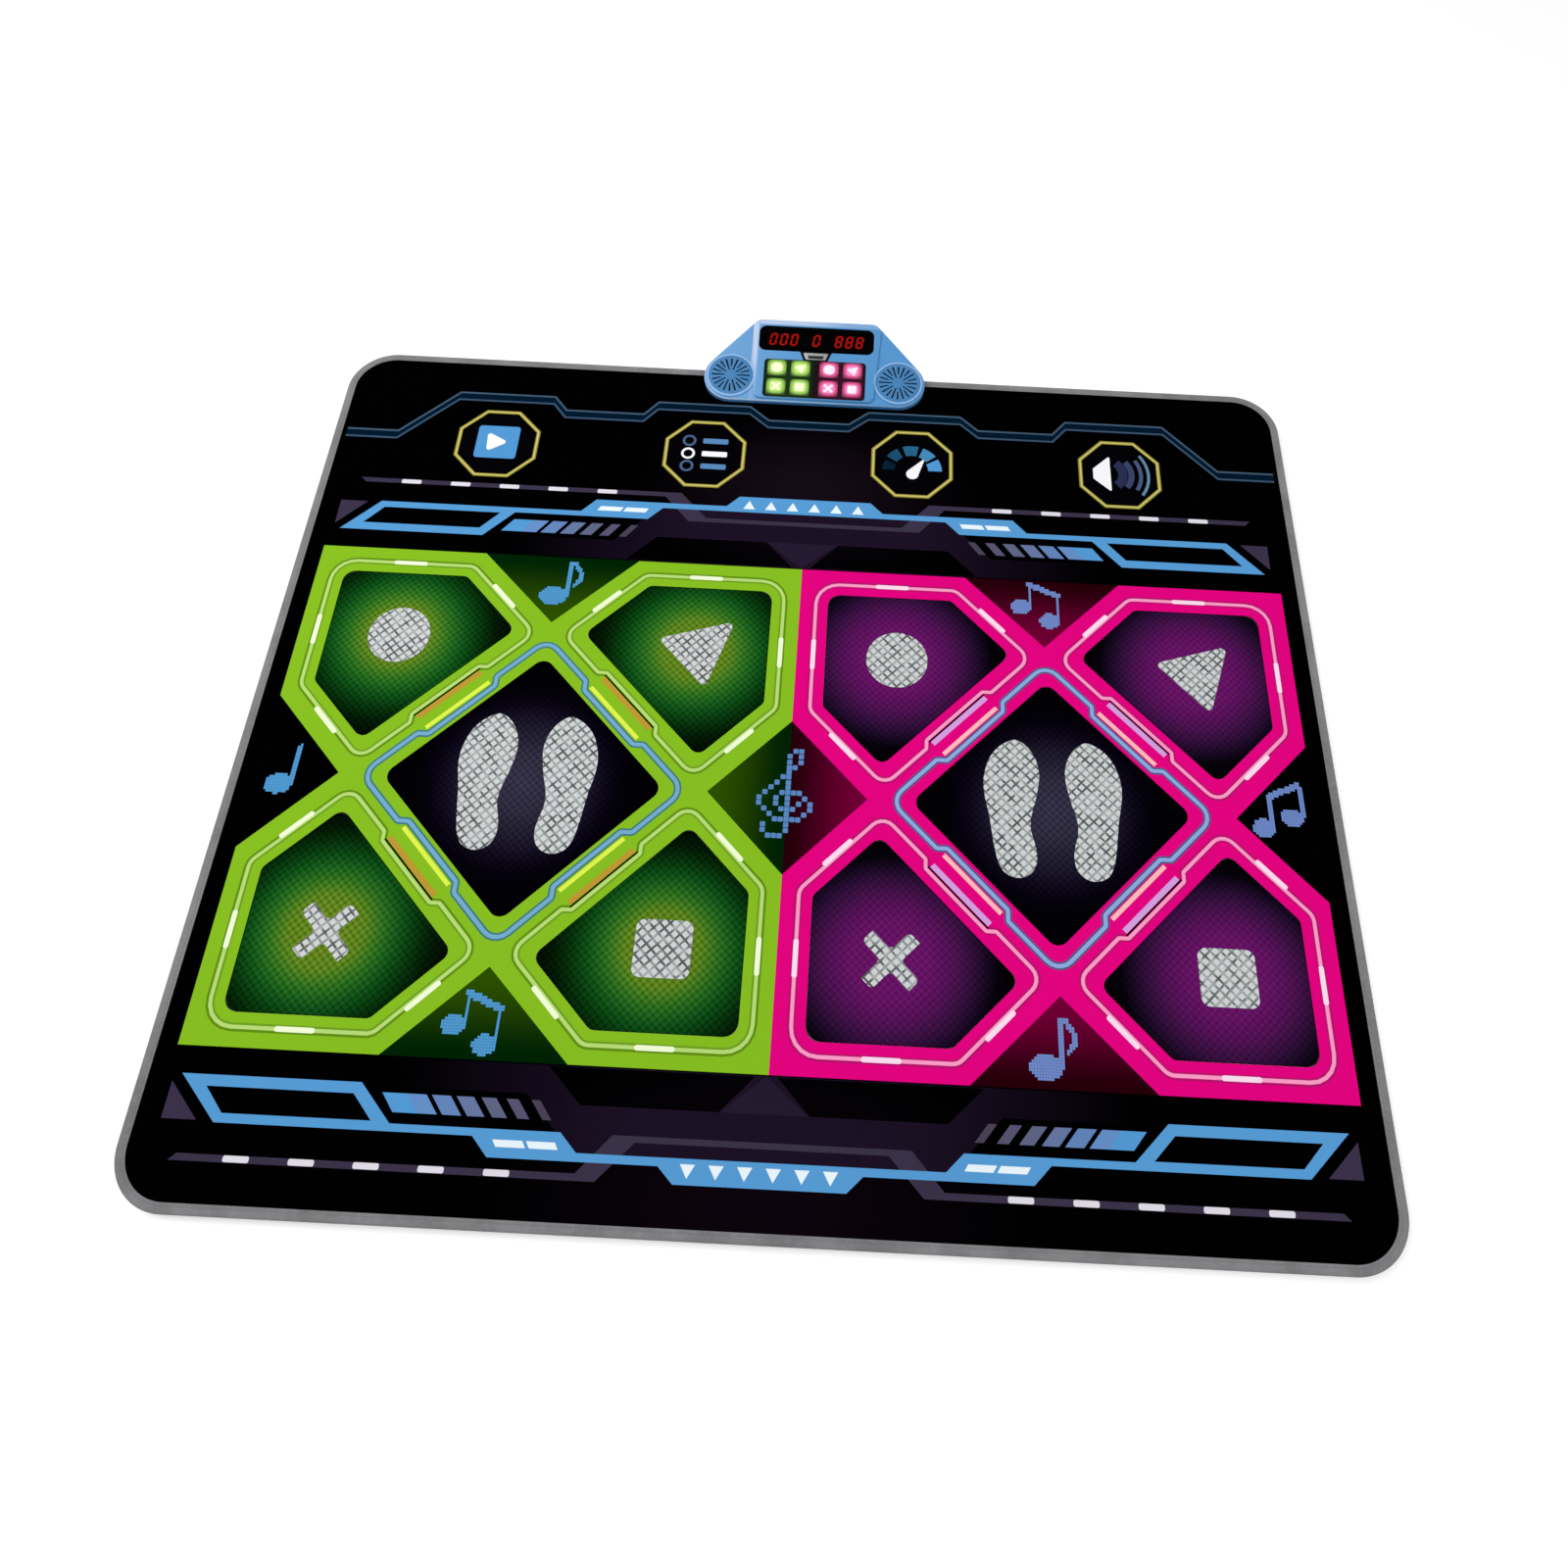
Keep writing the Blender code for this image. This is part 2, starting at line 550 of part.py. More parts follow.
def make_pads():
    for name, corners, centre, material in step_pads:
        pad = make_sheet(f"step_pad_{name}", rounded_polygon(corners), [], FOAM_Z, MAT_HEIGHT,
                         material)
        set_origin(pad, (*centre, MAT_HEIGHT))
        contact = make_sheet(f"contact_{name}", circle_points(*centre, CONTACT_RADIUS, 20), [],
                             CONTACT_Z, CONTACT_Z + FILM_THICKNESS, carbon)
        set_origin(contact, (*centre, CONTACT_Z))
    for purpose, centre in function_pads:
        corners = octagon_corners(*centre, FUNCTION_PAD_ACROSS)
        pad = make_sheet(f"function_pad_{purpose}", rounded_polygon(corners, steps=1), [],
                         FOAM_Z, MAT_HEIGHT, print_fabric)
        set_origin(pad, (*centre, MAT_HEIGHT))


def make_clamp():
    """Bar inside the mat that pulls its cover up against the console's deck."""
    top = FOAM_Z + FOAM_THICKNESS
    outline = rounded_rectangle(0, FRONT_SCREW_Y, CLAMP_LENGTH, CLAMP_WIDTH, CLAMP_CORNER_RADIUS)
    make_sheet("clamp_bar", outline, front_screw_holes, top - CLAMP_THICKNESS, top, steel)


def make_tail():
    """Flat lead from the contact film up to the circuit board."""
    low = FILM_Z + FILM_THICKNESS + GAP
    high = face_height(TAIL_Y, BLOCK_RISE + BOARD_BOTTOM) - TAIL_DROP
    thick = TAIL_THICKNESS
    section = [(TAIL_Y - TAIL_REACH, low), (TAIL_Y + thick, low), (TAIL_Y + thick, high - thick),
               (TAIL_Y + TAIL_TOP_REACH, high - thick), (TAIL_Y + TAIL_TOP_REACH, high),
               (TAIL_Y, high), (TAIL_Y, low + thick), (TAIL_Y - TAIL_REACH, low + thick)]
    make_loft("sensor_tail", [[(x, y, z) for y, z in section]
                              for x in (-TAIL_WIDTH / 2, TAIL_WIDTH / 2)], film)


# ---------------------------------------------------------------- the console

face = make_empty("console_face",
                  (0, CONSOLE_FRONT_Y - BLOCK_RISE * math.sin(CONSOLE_TILT),
                   CONSOLE_FRONT_HEIGHT + BLOCK_RISE * math.cos(CONSOLE_TILT)),
                  rotation=(CONSOLE_TILT, 0, 0))


def on_face(made, x, along):
    put_on(made, face, (x, along, 0))
    return made


def face_prism(name, points_at_inset, low, high, material, rounding=0.0):
    """A piece of the sloping face: an outline round its own origin, between two depths."""
    if rounding > 0:
        return make_loft(name, rounded_prism(points_at_inset, low, high, rounding), material)
    return make_loft(name, [flat_loop(points_at_inset(0), z) for z in (low, high)], material)


def block_outline(inset):
    back_y = CONSOLE_BACK_Y - BACK_CORNER_RADIUS
    back_radius = BACK_CORNER_RADIUS - BLOCK_MARGIN
    front_x = BLOCK_FRONT_WIDTH / 2 - BLOCK_CORNER_RADIUS
    front_y = CONSOLE_FRONT_Y + BLOCK_MARGIN + BLOCK_CORNER_RADIUS
    return rounded_outline([(-front_x, front_y, BLOCK_CORNER_RADIUS),
                            (front_x, front_y, BLOCK_CORNER_RADIUS),
                            (BACK_CORNER_X, back_y, back_radius),
                            (-BACK_CORNER_X, back_y, back_radius)], inset, 4)


def badge_outline(grow):
    front = BADGE_FRONT_WIDTH / 2
    back = BADGE_BACK_WIDTH / 2
    half = BADGE_HEIGHT / 2
    corners = [(-front, -half), (front, -half), (back, half), (-back, half)]
    return rounded_polygon([(x, y, BADGE_CORNER_RADIUS) for x, y in corners], grow)


def key_places():
    """Name, place on the face and material of each key."""
    places = []
    for colour, _, _, key_material, player in PLAYERS:
        for symbol, side_x, side_y in SYMBOLS:
            x = player * (KEY_GROUP_SPACING + KEY_PITCH_X) / 2 + side_x * KEY_PITCH_X / 2
            places.append((f"{colour}_{symbol}", x, side_y * KEY_PITCH_Y / 2, key_material))
    return places


def mat_cutter(name):
    """The space of the mat, under and in front of the console."""
    return make_box(name, -MAT_WIDTH, MAT_WIDTH, 0, MAT_BACK_Y + GAP, -MAT_HEIGHT, DECK_Z)


def make_upper_housing():
    housing = make_loft("upper_housing",
                        sloped_prism(console_outline, SKIRT_Z, 0, CONSOLE_ROUNDING), blue_plastic)
    block_loops = [sloped_loop(block_outline(-BLOCK_FOOT), lift) for lift in (-CONSOLE_WALL / 2, 0)]
    for k in range(4):
        angle = math.pi / 2 * k / 3
        block_loops.append(sloped_loop(block_outline(BLOCK_ROUNDING * (1 - math.cos(angle))),
                                       BLOCK_RISE - BLOCK_ROUNDING * (1 - math.sin(angle))))
    boolean(housing, make_loft("block_guide", block_loops, None), "UNION")
    for side, word in ((-1, "left"), (1, "right")):
        def puck(inset, x=side * LOBE_X):
            return circle_points(x, LOBE_Y, PUCK_RADIUS - inset, 28)
        loops = [sloped_loop(puck(0), -CONSOLE_WALL / 2)]
        for k in range(3):
            angle = math.pi / 2 * k / 2
            loops.append(sloped_loop(puck(PUCK_ROUNDING * (1 - math.cos(angle))),
                                     PUCK_RISE - PUCK_ROUNDING * (1 - math.sin(angle))))
        boolean(housing, make_loft(f"puck_guide_{word}", loops, None), "UNION")
    hollow = [flat_loop(console_outline(CONSOLE_WALL), -CONSOLE_WALL),
              sloped_loop(console_outline(CONSOLE_WALL), -CONSOLE_WALL)]
    boolean(housing, make_loft("hollow_guide", hollow, None), "DIFFERENCE")
    block_hollow = [flat_loop(block_outline(CONSOLE_WALL), MAT_HEIGHT),
                    sloped_loop(block_outline(CONSOLE_WALL), BLOCK_RISE - CONSOLE_WALL)]
    boolean(housing, make_loft("block_hollow_guide", block_hollow, None), "DIFFERENCE")
    boolean(housing, mat_cutter("mat_guide"), "DIFFERENCE")
    for side, word in ((-1, "left"), (1, "right")):
        for x, y, foot, rise, end in (
                (FRONT_SCREW_X, FRONT_SCREW_Y, DECK_TOP + GAP, BLOCK_RISE, "front"),
                (REAR_SCREW_X, REAR_SCREW_Y, COLUMN_HEIGHT + GAP, 0, "rear")):
            ceiling = face_height(y, rise - CONSOLE_WALL)
            boss = [flat_loop(circle_points(side * x, y, BOSS_RADIUS, 12), z)
                    for z in (foot, ceiling + CONSOLE_WALL / 2)]
            boolean(housing, make_loft(f"boss_guide_{end}_{word}", boss, None), "UNION")
            bore = [flat_loop(circle_points(side * x, y, SCREW_RADIUS + GAP, 12), z)
                    for z in (foot - GAP, ceiling - GAP)]
            boolean(housing, make_loft(f"bore_guide_{end}_{word}", bore, None), "DIFFERENCE")
    cut_face_windows(housing)
    slot = make_box("switch_guide",
                    SWITCH_X - SWITCH_KNOB[0] / 2 - SLIDE_GAP,
                    SWITCH_X + SWITCH_KNOB[0] / 2 + SWITCH_TRAVEL + SLIDE_GAP,
                    CONSOLE_BACK_Y - 2 * CONSOLE_WALL, CONSOLE_BACK_Y + CONSOLE_WALL,
                    SWITCH_Z - SWITCH_KNOB[1] / 2 - SLIDE_GAP,
                    SWITCH_Z + SWITCH_KNOB[1] / 2 + SLIDE_GAP)
    boolean(housing, slot, "DIFFERENCE")


def cut_face_windows(housing):
    def bezel_hole(inset):
        return rounded_rectangle(0, 0, BEZEL_WIDTH, BEZEL_HEIGHT, BEZEL_CORNER_RADIUS, inset - GAP)

    def lens_hole(inset):
        return rounded_rectangle(0, 0, DISPLAY_WIDTH, DISPLAY_HEIGHT, DISPLAY_CORNER_RADIUS,
                                 inset - GAP)

    deep = -2 * CONSOLE_WALL - BLOCK_RISE
    above = 2 * CONSOLE_WALL
    window = face_prism("bezel_guide", bezel_hole, deep, above, None)
    boolean(housing, on_face(window, 0, BEZEL_CENTRE), "DIFFERENCE")
    seat = -LENS_DEPTH - LENS_THICKNESS - GAP
    recess = face_prism("lens_guide", lens_hole, seat, above, None)
    boolean(housing, on_face(recess, 0, DISPLAY_CENTRE), "DIFFERENCE")
    opening = [flat_loop(lens_hole(LENS_LEDGE), z) for z in (deep, above)]
    opening = make_loft("display_guide", opening, None)
    boolean(housing, on_face(opening, 0, DISPLAY_CENTRE), "DIFFERENCE")
    badge = [flat_loop(badge_outline(GAP), z) for z in (BADGE_SEAT - GAP, above)]
    boolean(housing, on_face(make_loft("badge_guide", badge, None), 0, BADGE_CENTRE),
            "DIFFERENCE")
    for side, word in ((-1, "left"), (1, "right")):
        seat = PUCK_RISE - BLOCK_RISE - GRILLE_THICKNESS - GAP
        rim = [flat_loop(circle_points(0, 0, GRILLE_RADIUS + GAP, 24), z) for z in (seat, above)]
        rim = on_face(make_loft(f"grille_guide_{word}", rim, None), side * LOBE_X, LOBE_ALONG)
        boolean(housing, rim, "DIFFERENCE")
        hole = [flat_loop(circle_points(0, 0, GRILLE_OPENING, 24), z) for z in (deep, above)]
        hole = on_face(make_loft(f"sound_guide_{word}", hole, None), side * LOBE_X, LOBE_ALONG)
        boolean(housing, hole, "DIFFERENCE")


def make_face_pieces():
    key_holes = []
    for name, x, y, material in key_places():
        key_holes.append(rounded_rectangle(x, y, KEY_WIDTH, KEY_HEIGHT, KEY_CORNER_RADIUS,
                                           -SLIDE_GAP, 2))

        def key_outline(inset):
            return rounded_rectangle(0, 0, KEY_WIDTH, KEY_HEIGHT, KEY_CORNER_RADIUS, inset, 2)

        key = face_prism(f"key_{name}", key_outline, -KEY_DEPTH, KEY_PROUD, material, KEY_ROUNDING)
        on_face(key, x, BEZEL_CENTRE + y)
    outline = rounded_rectangle(0, 0, BEZEL_WIDTH, BEZEL_HEIGHT, BEZEL_CORNER_RADIUS)
    bezel = make_sheet("key_bezel", outline, key_holes, -CONSOLE_WALL + GAP, BEZEL_PROUD,
                       black_plastic)
    on_face(bezel, 0, BEZEL_CENTRE)
    membrane = make_loft("key_membrane", [flat_loop(outline, z) for z in
                                          (KEY_BOTTOM - MEMBRANE_THICKNESS, KEY_BOTTOM)], rubber)
    on_face(membrane, 0, BEZEL_CENTRE)

    def lens_outline(inset):
        return rounded_rectangle(0, 0, DISPLAY_WIDTH, DISPLAY_HEIGHT, DISPLAY_CORNER_RADIUS, inset)

    top = -LENS_DEPTH
    window = face_prism("display_window", lens_outline, top - LENS_THICKNESS, top, lens,
                        LENS_ROUNDING)
    on_face(window, 0, DISPLAY_CENTRE)
    for name, x, digits in (("left", -DIGIT_GROUP_X, 3), ("middle", 0, 1),
                            ("right", DIGIT_GROUP_X, 3)):
        half = DIGIT_WIDTH * digits / 2
        module = make_box(f"digit_module_{name}", -half, half, -DIGIT_HEIGHT / 2, DIGIT_HEIGHT / 2,
                          BOARD_TOP + GAP, top - LENS_THICKNESS - MODULE_CLEARANCE, led_red)
        on_face(module, x, DISPLAY_CENTRE)
    badge = make_loft("badge_plate", [flat_loop(badge_outline(0), z)
                                      for z in (BADGE_SEAT, BADGE_SEAT + BADGE_THICKNESS)], silver)
    on_face(badge, 0, BADGE_CENTRE)
    board_front = BEZEL_CENTRE - BEZEL_HEIGHT / 2 + BOARD_MARGIN
    board_back = DISPLAY_CENTRE + DISPLAY_HEIGHT / 2 - BOARD_MARGIN
    half = BEZEL_WIDTH / 2 - BOARD_MARGIN
    board = make_box("main_board", -half, half, board_front, board_back, BOARD_BOTTOM, BOARD_TOP,
                     board_green)
    on_face(board, 0, 0)


def make_loudspeakers():
    slots = []
    for k in range(GRILLE_SLOTS):
        angle = 2 * math.pi * k / GRILLE_SLOTS
        inner = SLOT_INNER_LONG if k % 2 == 0 else SLOT_INNER_SHORT
        corners = [(inner, -SLOT_WIDTH / 2), (SLOT_OUTER, -SLOT_WIDTH / 2),
                   (SLOT_OUTER, SLOT_WIDTH / 2), (inner, SLOT_WIDTH / 2)]
        slots.append([(x * math.cos(angle) - y * math.sin(angle),
                       x * math.sin(angle) + y * math.cos(angle)) for x, y in corners])
    top = PUCK_RISE - BLOCK_RISE
    under = -BLOCK_RISE - CONSOLE_WALL - GAP
    for side, word in ((-1, "left"), (1, "right")):
        grille = make_sheet(f"speaker_grille_{word}", circle_points(0, 0, GRILLE_RADIUS, 24),
                            slots, top - GRILLE_THICKNESS, top, grille_plastic)
        on_face(grille, side * LOBE_X, LOBE_ALONG)
        profile = [(MAGNET_RADIUS, under - MAGNET_DEPTH), (MAGNET_RADIUS, under - SPEAKER_FRAME_DEPTH),
                   (SPEAKER_RADIUS, under - SPEAKER_FRAME_DEPTH), (SPEAKER_RADIUS, under)]
        driver = make_round(f"loudspeaker_{word}", profile, speaker_black, 24)
        on_face(driver, side * LOBE_X, LOBE_ALONG)


def make_lower_housing():
    inset = CONSOLE_WALL + GAP
    step_y = MAT_BACK_Y + GAP + TRAY_WALL
    far_y = CONSOLE_BACK_Y + CONSOLE_WALL
    housing = make_loft("lower_housing", [flat_loop(console_outline(inset), z)
                                          for z in (BASE_PLATE / 2, DECK_TOP)], dark_plastic)
    tray = make_loft("tray_guide", [flat_loop(console_outline(inset + TRAY_WALL), z)
                                    for z in (BASE_PLATE, 2 * DECK_TOP)], None)
    behind = make_box("behind_guide", -MAT_WIDTH, MAT_WIDTH, step_y, far_y, 0, 2 * DECK_TOP)
    boolean(tray, behind, "INTERSECT")
    boolean(housing, tray, "DIFFERENCE")
    lowered = make_box("tray_top_guide", -MAT_WIDTH, MAT_WIDTH, step_y, far_y, TRAY_HEIGHT,
                       2 * DECK_TOP)
    boolean(housing, lowered, "DIFFERENCE")
    plate = make_loft("plate_guide", [flat_loop(console_outline(GAP), z)
                                      for z in (0, BASE_PLATE)], None)
    boolean(housing, plate, "UNION")
    for side, word in ((-1, "left"), (1, "right")):
        def ring(radius, x=side * REAR_SCREW_X):
            return circle_points(x, REAR_SCREW_Y, radius, 12)
        column = [flat_loop(ring(COLUMN_RADIUS), z) for z in (BASE_PLATE / 2, COLUMN_HEIGHT)]
        boolean(housing, make_loft(f"column_guide_{word}", column, None), "UNION")
        sink = [flat_loop(ring(SCREW_HEAD_RADIUS + GAP), z) for z in (-GAP, COLUMN_SHOULDER)]
        boolean(housing, make_loft(f"screw_sink_guide_{word}", sink, None), "DIFFERENCE")
        bore = [flat_loop(ring(SCREW_RADIUS + GAP), z) for z in (COLUMN_SHOULDER / 2, 2 * COLUMN_HEIGHT)]
        boolean(housing, make_loft(f"screw_bore_guide_{word}", bore, None), "DIFFERENCE")
        passage = [flat_loop(circle_points(side * FRONT_SCREW_X, FRONT_SCREW_Y,
                                           SCREW_RADIUS + GAP, 12), z)
                   for z in (-GAP, 2 * DECK_TOP)]
        boolean(housing, make_loft(f"front_bore_guide_{word}", passage, None), "DIFFERENCE")
    boolean(housing, mat_cutter("mat_space_guide"), "DIFFERENCE")
    slot = make_loft("tail_guide", [flat_loop(tail_slot, z) for z in (-GAP, 2 * DECK_TOP)], None)
    boolean(housing, slot, "DIFFERENCE")
    opening = make_door_shape("door_guide", SLIDE_GAP, far_y, -GAP, None)
    boolean(housing, opening, "DIFFERENCE")


def make_door_shape(name, grow, back_y, low, material):
    """The sliding battery door, wider in its upper half; grown, it is the door's opening."""
    half = DOOR_WIDTH / 2 - SLIDE_GAP + grow
    wide = half + DOOR_FLANGE
    top = BASE_PLATE + (GAP if grow else 0)
    ledge = BASE_PLATE - DOOR_FLANGE_HEIGHT - (GAP if grow else 0)
    front_y = MAT_BACK_Y + GAP + TRAY_WALL + DOOR_FRONT_MARGIN + SLIDE_GAP - grow
    section = [(-half, low), (half, low), (half, ledge), (wide, ledge), (wide, top),
               (-wide, top), (-wide, ledge), (-half, ledge)]
    return make_loft(name, [[(x, y, z) for x, z in section] for y in (front_y, back_y)], material)


def make_battery_bay():
    door = make_door_shape("battery_door", 0, CONSOLE_BACK_Y - GAP, 0, dark_plastic)
    set_origin(door, (0, CONSOLE_BACK_Y - GAP, 0))
    bay_y = MAT_BACK_Y + GAP + TRAY_WALL + DOOR_FRONT_MARGIN + CELL_SPACING / 2
    height = SKIRT_Z + GAP + CELL_RADIUS
    for k in range(CELL_COUNT):
        end = CELL_LENGTH / 2
        shoulder = end - CELL_BUTTON_LENGTH
        profile = [(CELL_RADIUS, -end), (CELL_RADIUS, shoulder), (CELL_BUTTON_RADIUS, shoulder),
                   (CELL_BUTTON_RADIUS, end)]
        cell = make_round(f"battery_{k + 1}", profile, cell_skin, 16)
        cell.rotation_euler = (0, math.pi / 2 * (-1) ** k, 0)
        cell.location = (0, bay_y + k * CELL_SPACING, height)


def make_switch():
    """Slide switch in the back wall; its collar runs behind the wall."""
    inner_y = CONSOLE_BACK_Y - CONSOLE_WALL - GAP
    half_x, half_z = SWITCH_KNOB[0] / 2, SWITCH_KNOB[1] / 2
    collar = SWITCH_COLLAR
    loops = []
    for grow, y in ((collar, inner_y - collar), (collar, inner_y), (0, inner_y),
                    (0, CONSOLE_BACK_Y + SWITCH_PROUD)):
        outline = rectangle_points(-half_x - grow, half_x + grow, -half_z - grow, half_z + grow)
        loops.append([(x, y - CONSOLE_BACK_Y, z) for x, z in outline])
    knob = make_loft("power_switch", loops, black_plastic)
    knob.location = (SWITCH_X, CONSOLE_BACK_Y, SWITCH_Z)


def make_screws():
    bar_bottom = FOAM_Z + FOAM_THICKNESS - CLAMP_THICKNESS
    for side, word in ((-1, "left"), (1, "right")):
        for end, x, y, seat, reach in (
                ("front", FRONT_SCREW_X, FRONT_SCREW_Y, bar_bottom - GAP, DECK_TOP),
                ("rear", REAR_SCREW_X, REAR_SCREW_Y, COLUMN_SHOULDER - GAP, COLUMN_HEIGHT)):
            tip = reach - seat + min(SCREW_REACH, face_height(y, -CONSOLE_WALL) - reach - 4 * GAP)
            profile = [(SCREW_HEAD_RADIUS, -SCREW_HEAD_HEIGHT), (SCREW_HEAD_RADIUS, 0),
                       (SCREW_RADIUS, 0), (SCREW_RADIUS, tip)]
            screw = make_round(f"screw_{end}_{word}", profile, steel, 12)
            screw.location = (side * x, y, seat)


make_mat()
make_pads()
make_clamp()
make_tail()
make_upper_housing()
make_face_pieces()
make_loudspeakers()
make_lower_housing()
make_battery_bay()
make_switch()
make_screws()
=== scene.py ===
import json
import math

import bpy
from mathutils import Matrix, Vector

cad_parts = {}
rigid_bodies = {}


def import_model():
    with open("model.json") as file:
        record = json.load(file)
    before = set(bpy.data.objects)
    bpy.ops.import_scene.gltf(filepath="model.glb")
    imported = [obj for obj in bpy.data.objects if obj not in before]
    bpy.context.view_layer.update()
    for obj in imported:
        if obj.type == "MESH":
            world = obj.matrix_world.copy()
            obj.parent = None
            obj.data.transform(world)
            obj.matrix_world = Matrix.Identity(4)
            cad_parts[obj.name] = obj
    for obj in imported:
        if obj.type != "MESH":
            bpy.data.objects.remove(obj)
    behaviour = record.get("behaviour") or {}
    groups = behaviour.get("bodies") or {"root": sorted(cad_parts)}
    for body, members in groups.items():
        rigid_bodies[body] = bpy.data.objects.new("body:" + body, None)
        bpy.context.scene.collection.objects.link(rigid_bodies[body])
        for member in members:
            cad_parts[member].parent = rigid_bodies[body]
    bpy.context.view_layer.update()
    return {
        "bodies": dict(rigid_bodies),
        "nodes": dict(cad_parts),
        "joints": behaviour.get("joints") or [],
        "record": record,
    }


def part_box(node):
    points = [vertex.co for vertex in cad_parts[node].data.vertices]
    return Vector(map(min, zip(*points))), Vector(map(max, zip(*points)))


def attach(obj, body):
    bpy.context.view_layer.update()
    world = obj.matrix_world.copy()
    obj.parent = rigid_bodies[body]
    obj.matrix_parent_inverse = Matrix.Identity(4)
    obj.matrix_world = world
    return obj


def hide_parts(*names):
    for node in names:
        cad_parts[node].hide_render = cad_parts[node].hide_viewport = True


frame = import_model()
nodes = frame["nodes"]
mm = 0.001
weldDistance = 0.000002  # points nearer than this become one

# the places that the prints line up with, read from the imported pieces
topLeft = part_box("step_pad_green_circle")
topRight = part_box("step_pad_green_triangle")
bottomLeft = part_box("step_pad_green_cross")
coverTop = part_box("top_cover")[1].z
fieldX = -(topLeft[0].x + topRight[1].x) / 2 / mm
fieldY = (topLeft[1].y + bottomLeft[0].y) / 2 / mm
padReach = (topRight[1].x - topLeft[0].x) / 2 / mm
padRise = 0.85 * mm          # the step pads' crown above the cover
functionPadRise = 0.35 * mm  # and the function pads'
fieldPlaces = {"green": -fieldX, "pink": fieldX}


def deselectAll():
    bpy.ops.object.select_all(action="DESELECT")


def useOnly(piece):
    deselectAll()
    piece.select_set(True)
    bpy.context.view_layer.objects.active = piece


def applyPlace(piece):
    useOnly(piece)
    bpy.ops.object.transform_apply(location=True, rotation=True, scale=True)


def rgb(red, green, blue):
    # a colour as written on screen, 0 to 255, made linear
    linear = []
    for part in (red, green, blue):
        part /= 255
        linear.append(part / 12.92 if part <= 0.04045 else ((part + 0.055) / 1.055) ** 2.4)
    return (*linear, 1.0)


def grown(corners, distance):
    # a closed outline, counter-clockwise, with its sides moved out
    moved = []
    for i, corner in enumerate(corners):
        here = Vector(corner)
        before = (here - Vector(corners[i - 1])).normalized()
        after = (Vector(corners[(i + 1) % len(corners)]) - here).normalized()
        normalA = Vector((before.y, -before.x))
        normalB = Vector((after.y, -after.x))
        step = (normalA + normalB) / (1 + normalA.dot(normalB))
        moved.append(tuple(here + step * distance))
    return moved


def rounded(corners, radius, steps=5):
    # one radius for all the corners, or a list with one for each
    outline = []
    for i, corner in enumerate(corners):
        r = radius[i] if isinstance(radius, list) else radius
        here = Vector(corner)
        before = (Vector(corners[i - 1]) - here).normalized()
        after = (Vector(corners[(i + 1) % len(corners)]) - here).normalized()
        angle = before.angle(after)
        if r < 0.05 or angle > math.pi - 0.02:
            outline.append(tuple(here))
            continue
        middle = here + (before + after).normalized() * (r / math.sin(angle / 2))
        reach = r / math.tan(angle / 2)
        start = here + before * reach - middle
        end = here + after * reach - middle
        first = math.atan2(start.y, start.x)
        sweep = (math.atan2(end.y, end.x) - first + math.pi) % (2 * math.pi) - math.pi
        for k in range(steps + 1):
            turn = first + sweep * k / steps
            outline.append((middle.x + r * math.cos(turn), middle.y + r * math.sin(turn)))
    return outline


def lineRing(corners, width, radius, offset=0.0, steps=5):
    # the two outlines of a line that runs round corners, at an offset outside them
    outlines = []
    count = len(corners)
    for shift in (offset + width / 2, offset - width / 2):
        radii = []
        for i in range(count):
            before = Vector(corners[i]) - Vector(corners[i - 1])
            after = Vector(corners[(i + 1) % count]) - Vector(corners[i])
            side = 1 if before.cross(after) > 0 else -1
            r = radius[i] if isinstance(radius, list) else radius
            radii.append(max(r + side * shift, 0.3))
        outlines.append(rounded(grown(corners, shift), radii, steps))
    return outlines


def lineStrip(points, width):
    # the outline of an open line through points
    sides = ([], [])
    last = len(points) - 1
    for i, point in enumerate(points):
        here = Vector(point)
        before = (here - Vector(points[i - 1])).normalized() if i else None
        after = (Vector(points[i + 1]) - here).normalized() if i < last else None
        before = before or after
        after = after or before
        normalA = Vector((-before.y, before.x))
        normalB = Vector((-after.y, after.x))
        step = (normalA + normalB) / (1 + normalA.dot(normalB)) * width / 2
        sides[0].append(tuple(here + step))
        sides[1].append(tuple(here - step))
    return sides[1] + sides[0][::-1]


def circleOutline(x, y, radius, steps=40):
    turns = [2 * math.pi * k / steps for k in range(steps)]
    return [(x + radius * math.cos(turn), y + radius * math.sin(turn)) for turn in turns]


def boxOutline(x0, y0, x1, y1):
    return [(x0, y0), (x1, y0), (x1, y1), (x0, y1)]


def mirrored(outline, signX, signY, x=0.0):
    # turned over to a side by its signs, still counter-clockwise, and moved along x
    moved = [(x + signX * px, signY * py) for px, py in outline]
    return moved[::-1] if signX * signY < 0 else moved


def makeGroup(name, inputs, outputs):
    group = bpy.data.node_groups.new(name, "ShaderNodeTree")
    for kind, socketName, start in inputs:
        socket = group.interface.new_socket(name=socketName, in_out="INPUT", socket_type=kind)
        socket.default_value = start
    for kind, socketName in outputs:
        group.interface.new_socket(name=socketName, in_out="OUTPUT", socket_type=kind)
    enter = group.nodes.new("NodeGroupInput")
    leave = group.nodes.new("NodeGroupOutput")
    return group, enter, leave


def addNode(tree, kind, **values):
    node = tree.nodes.new(kind)
    for name, value in values.items():
        setattr(node, name, value)
    return node


def mathNode(tree, operation, first, second=None, third=None):
    node = addNode(tree, "ShaderNodeMath", operation=operation)
    for socket, value in zip(node.inputs, (first, second, third)):
        if value is None:
            continue
        if isinstance(value, (int, float)):
            socket.default_value = value
        else:
            tree.links.new(value, socket)
    return node.outputs[0]


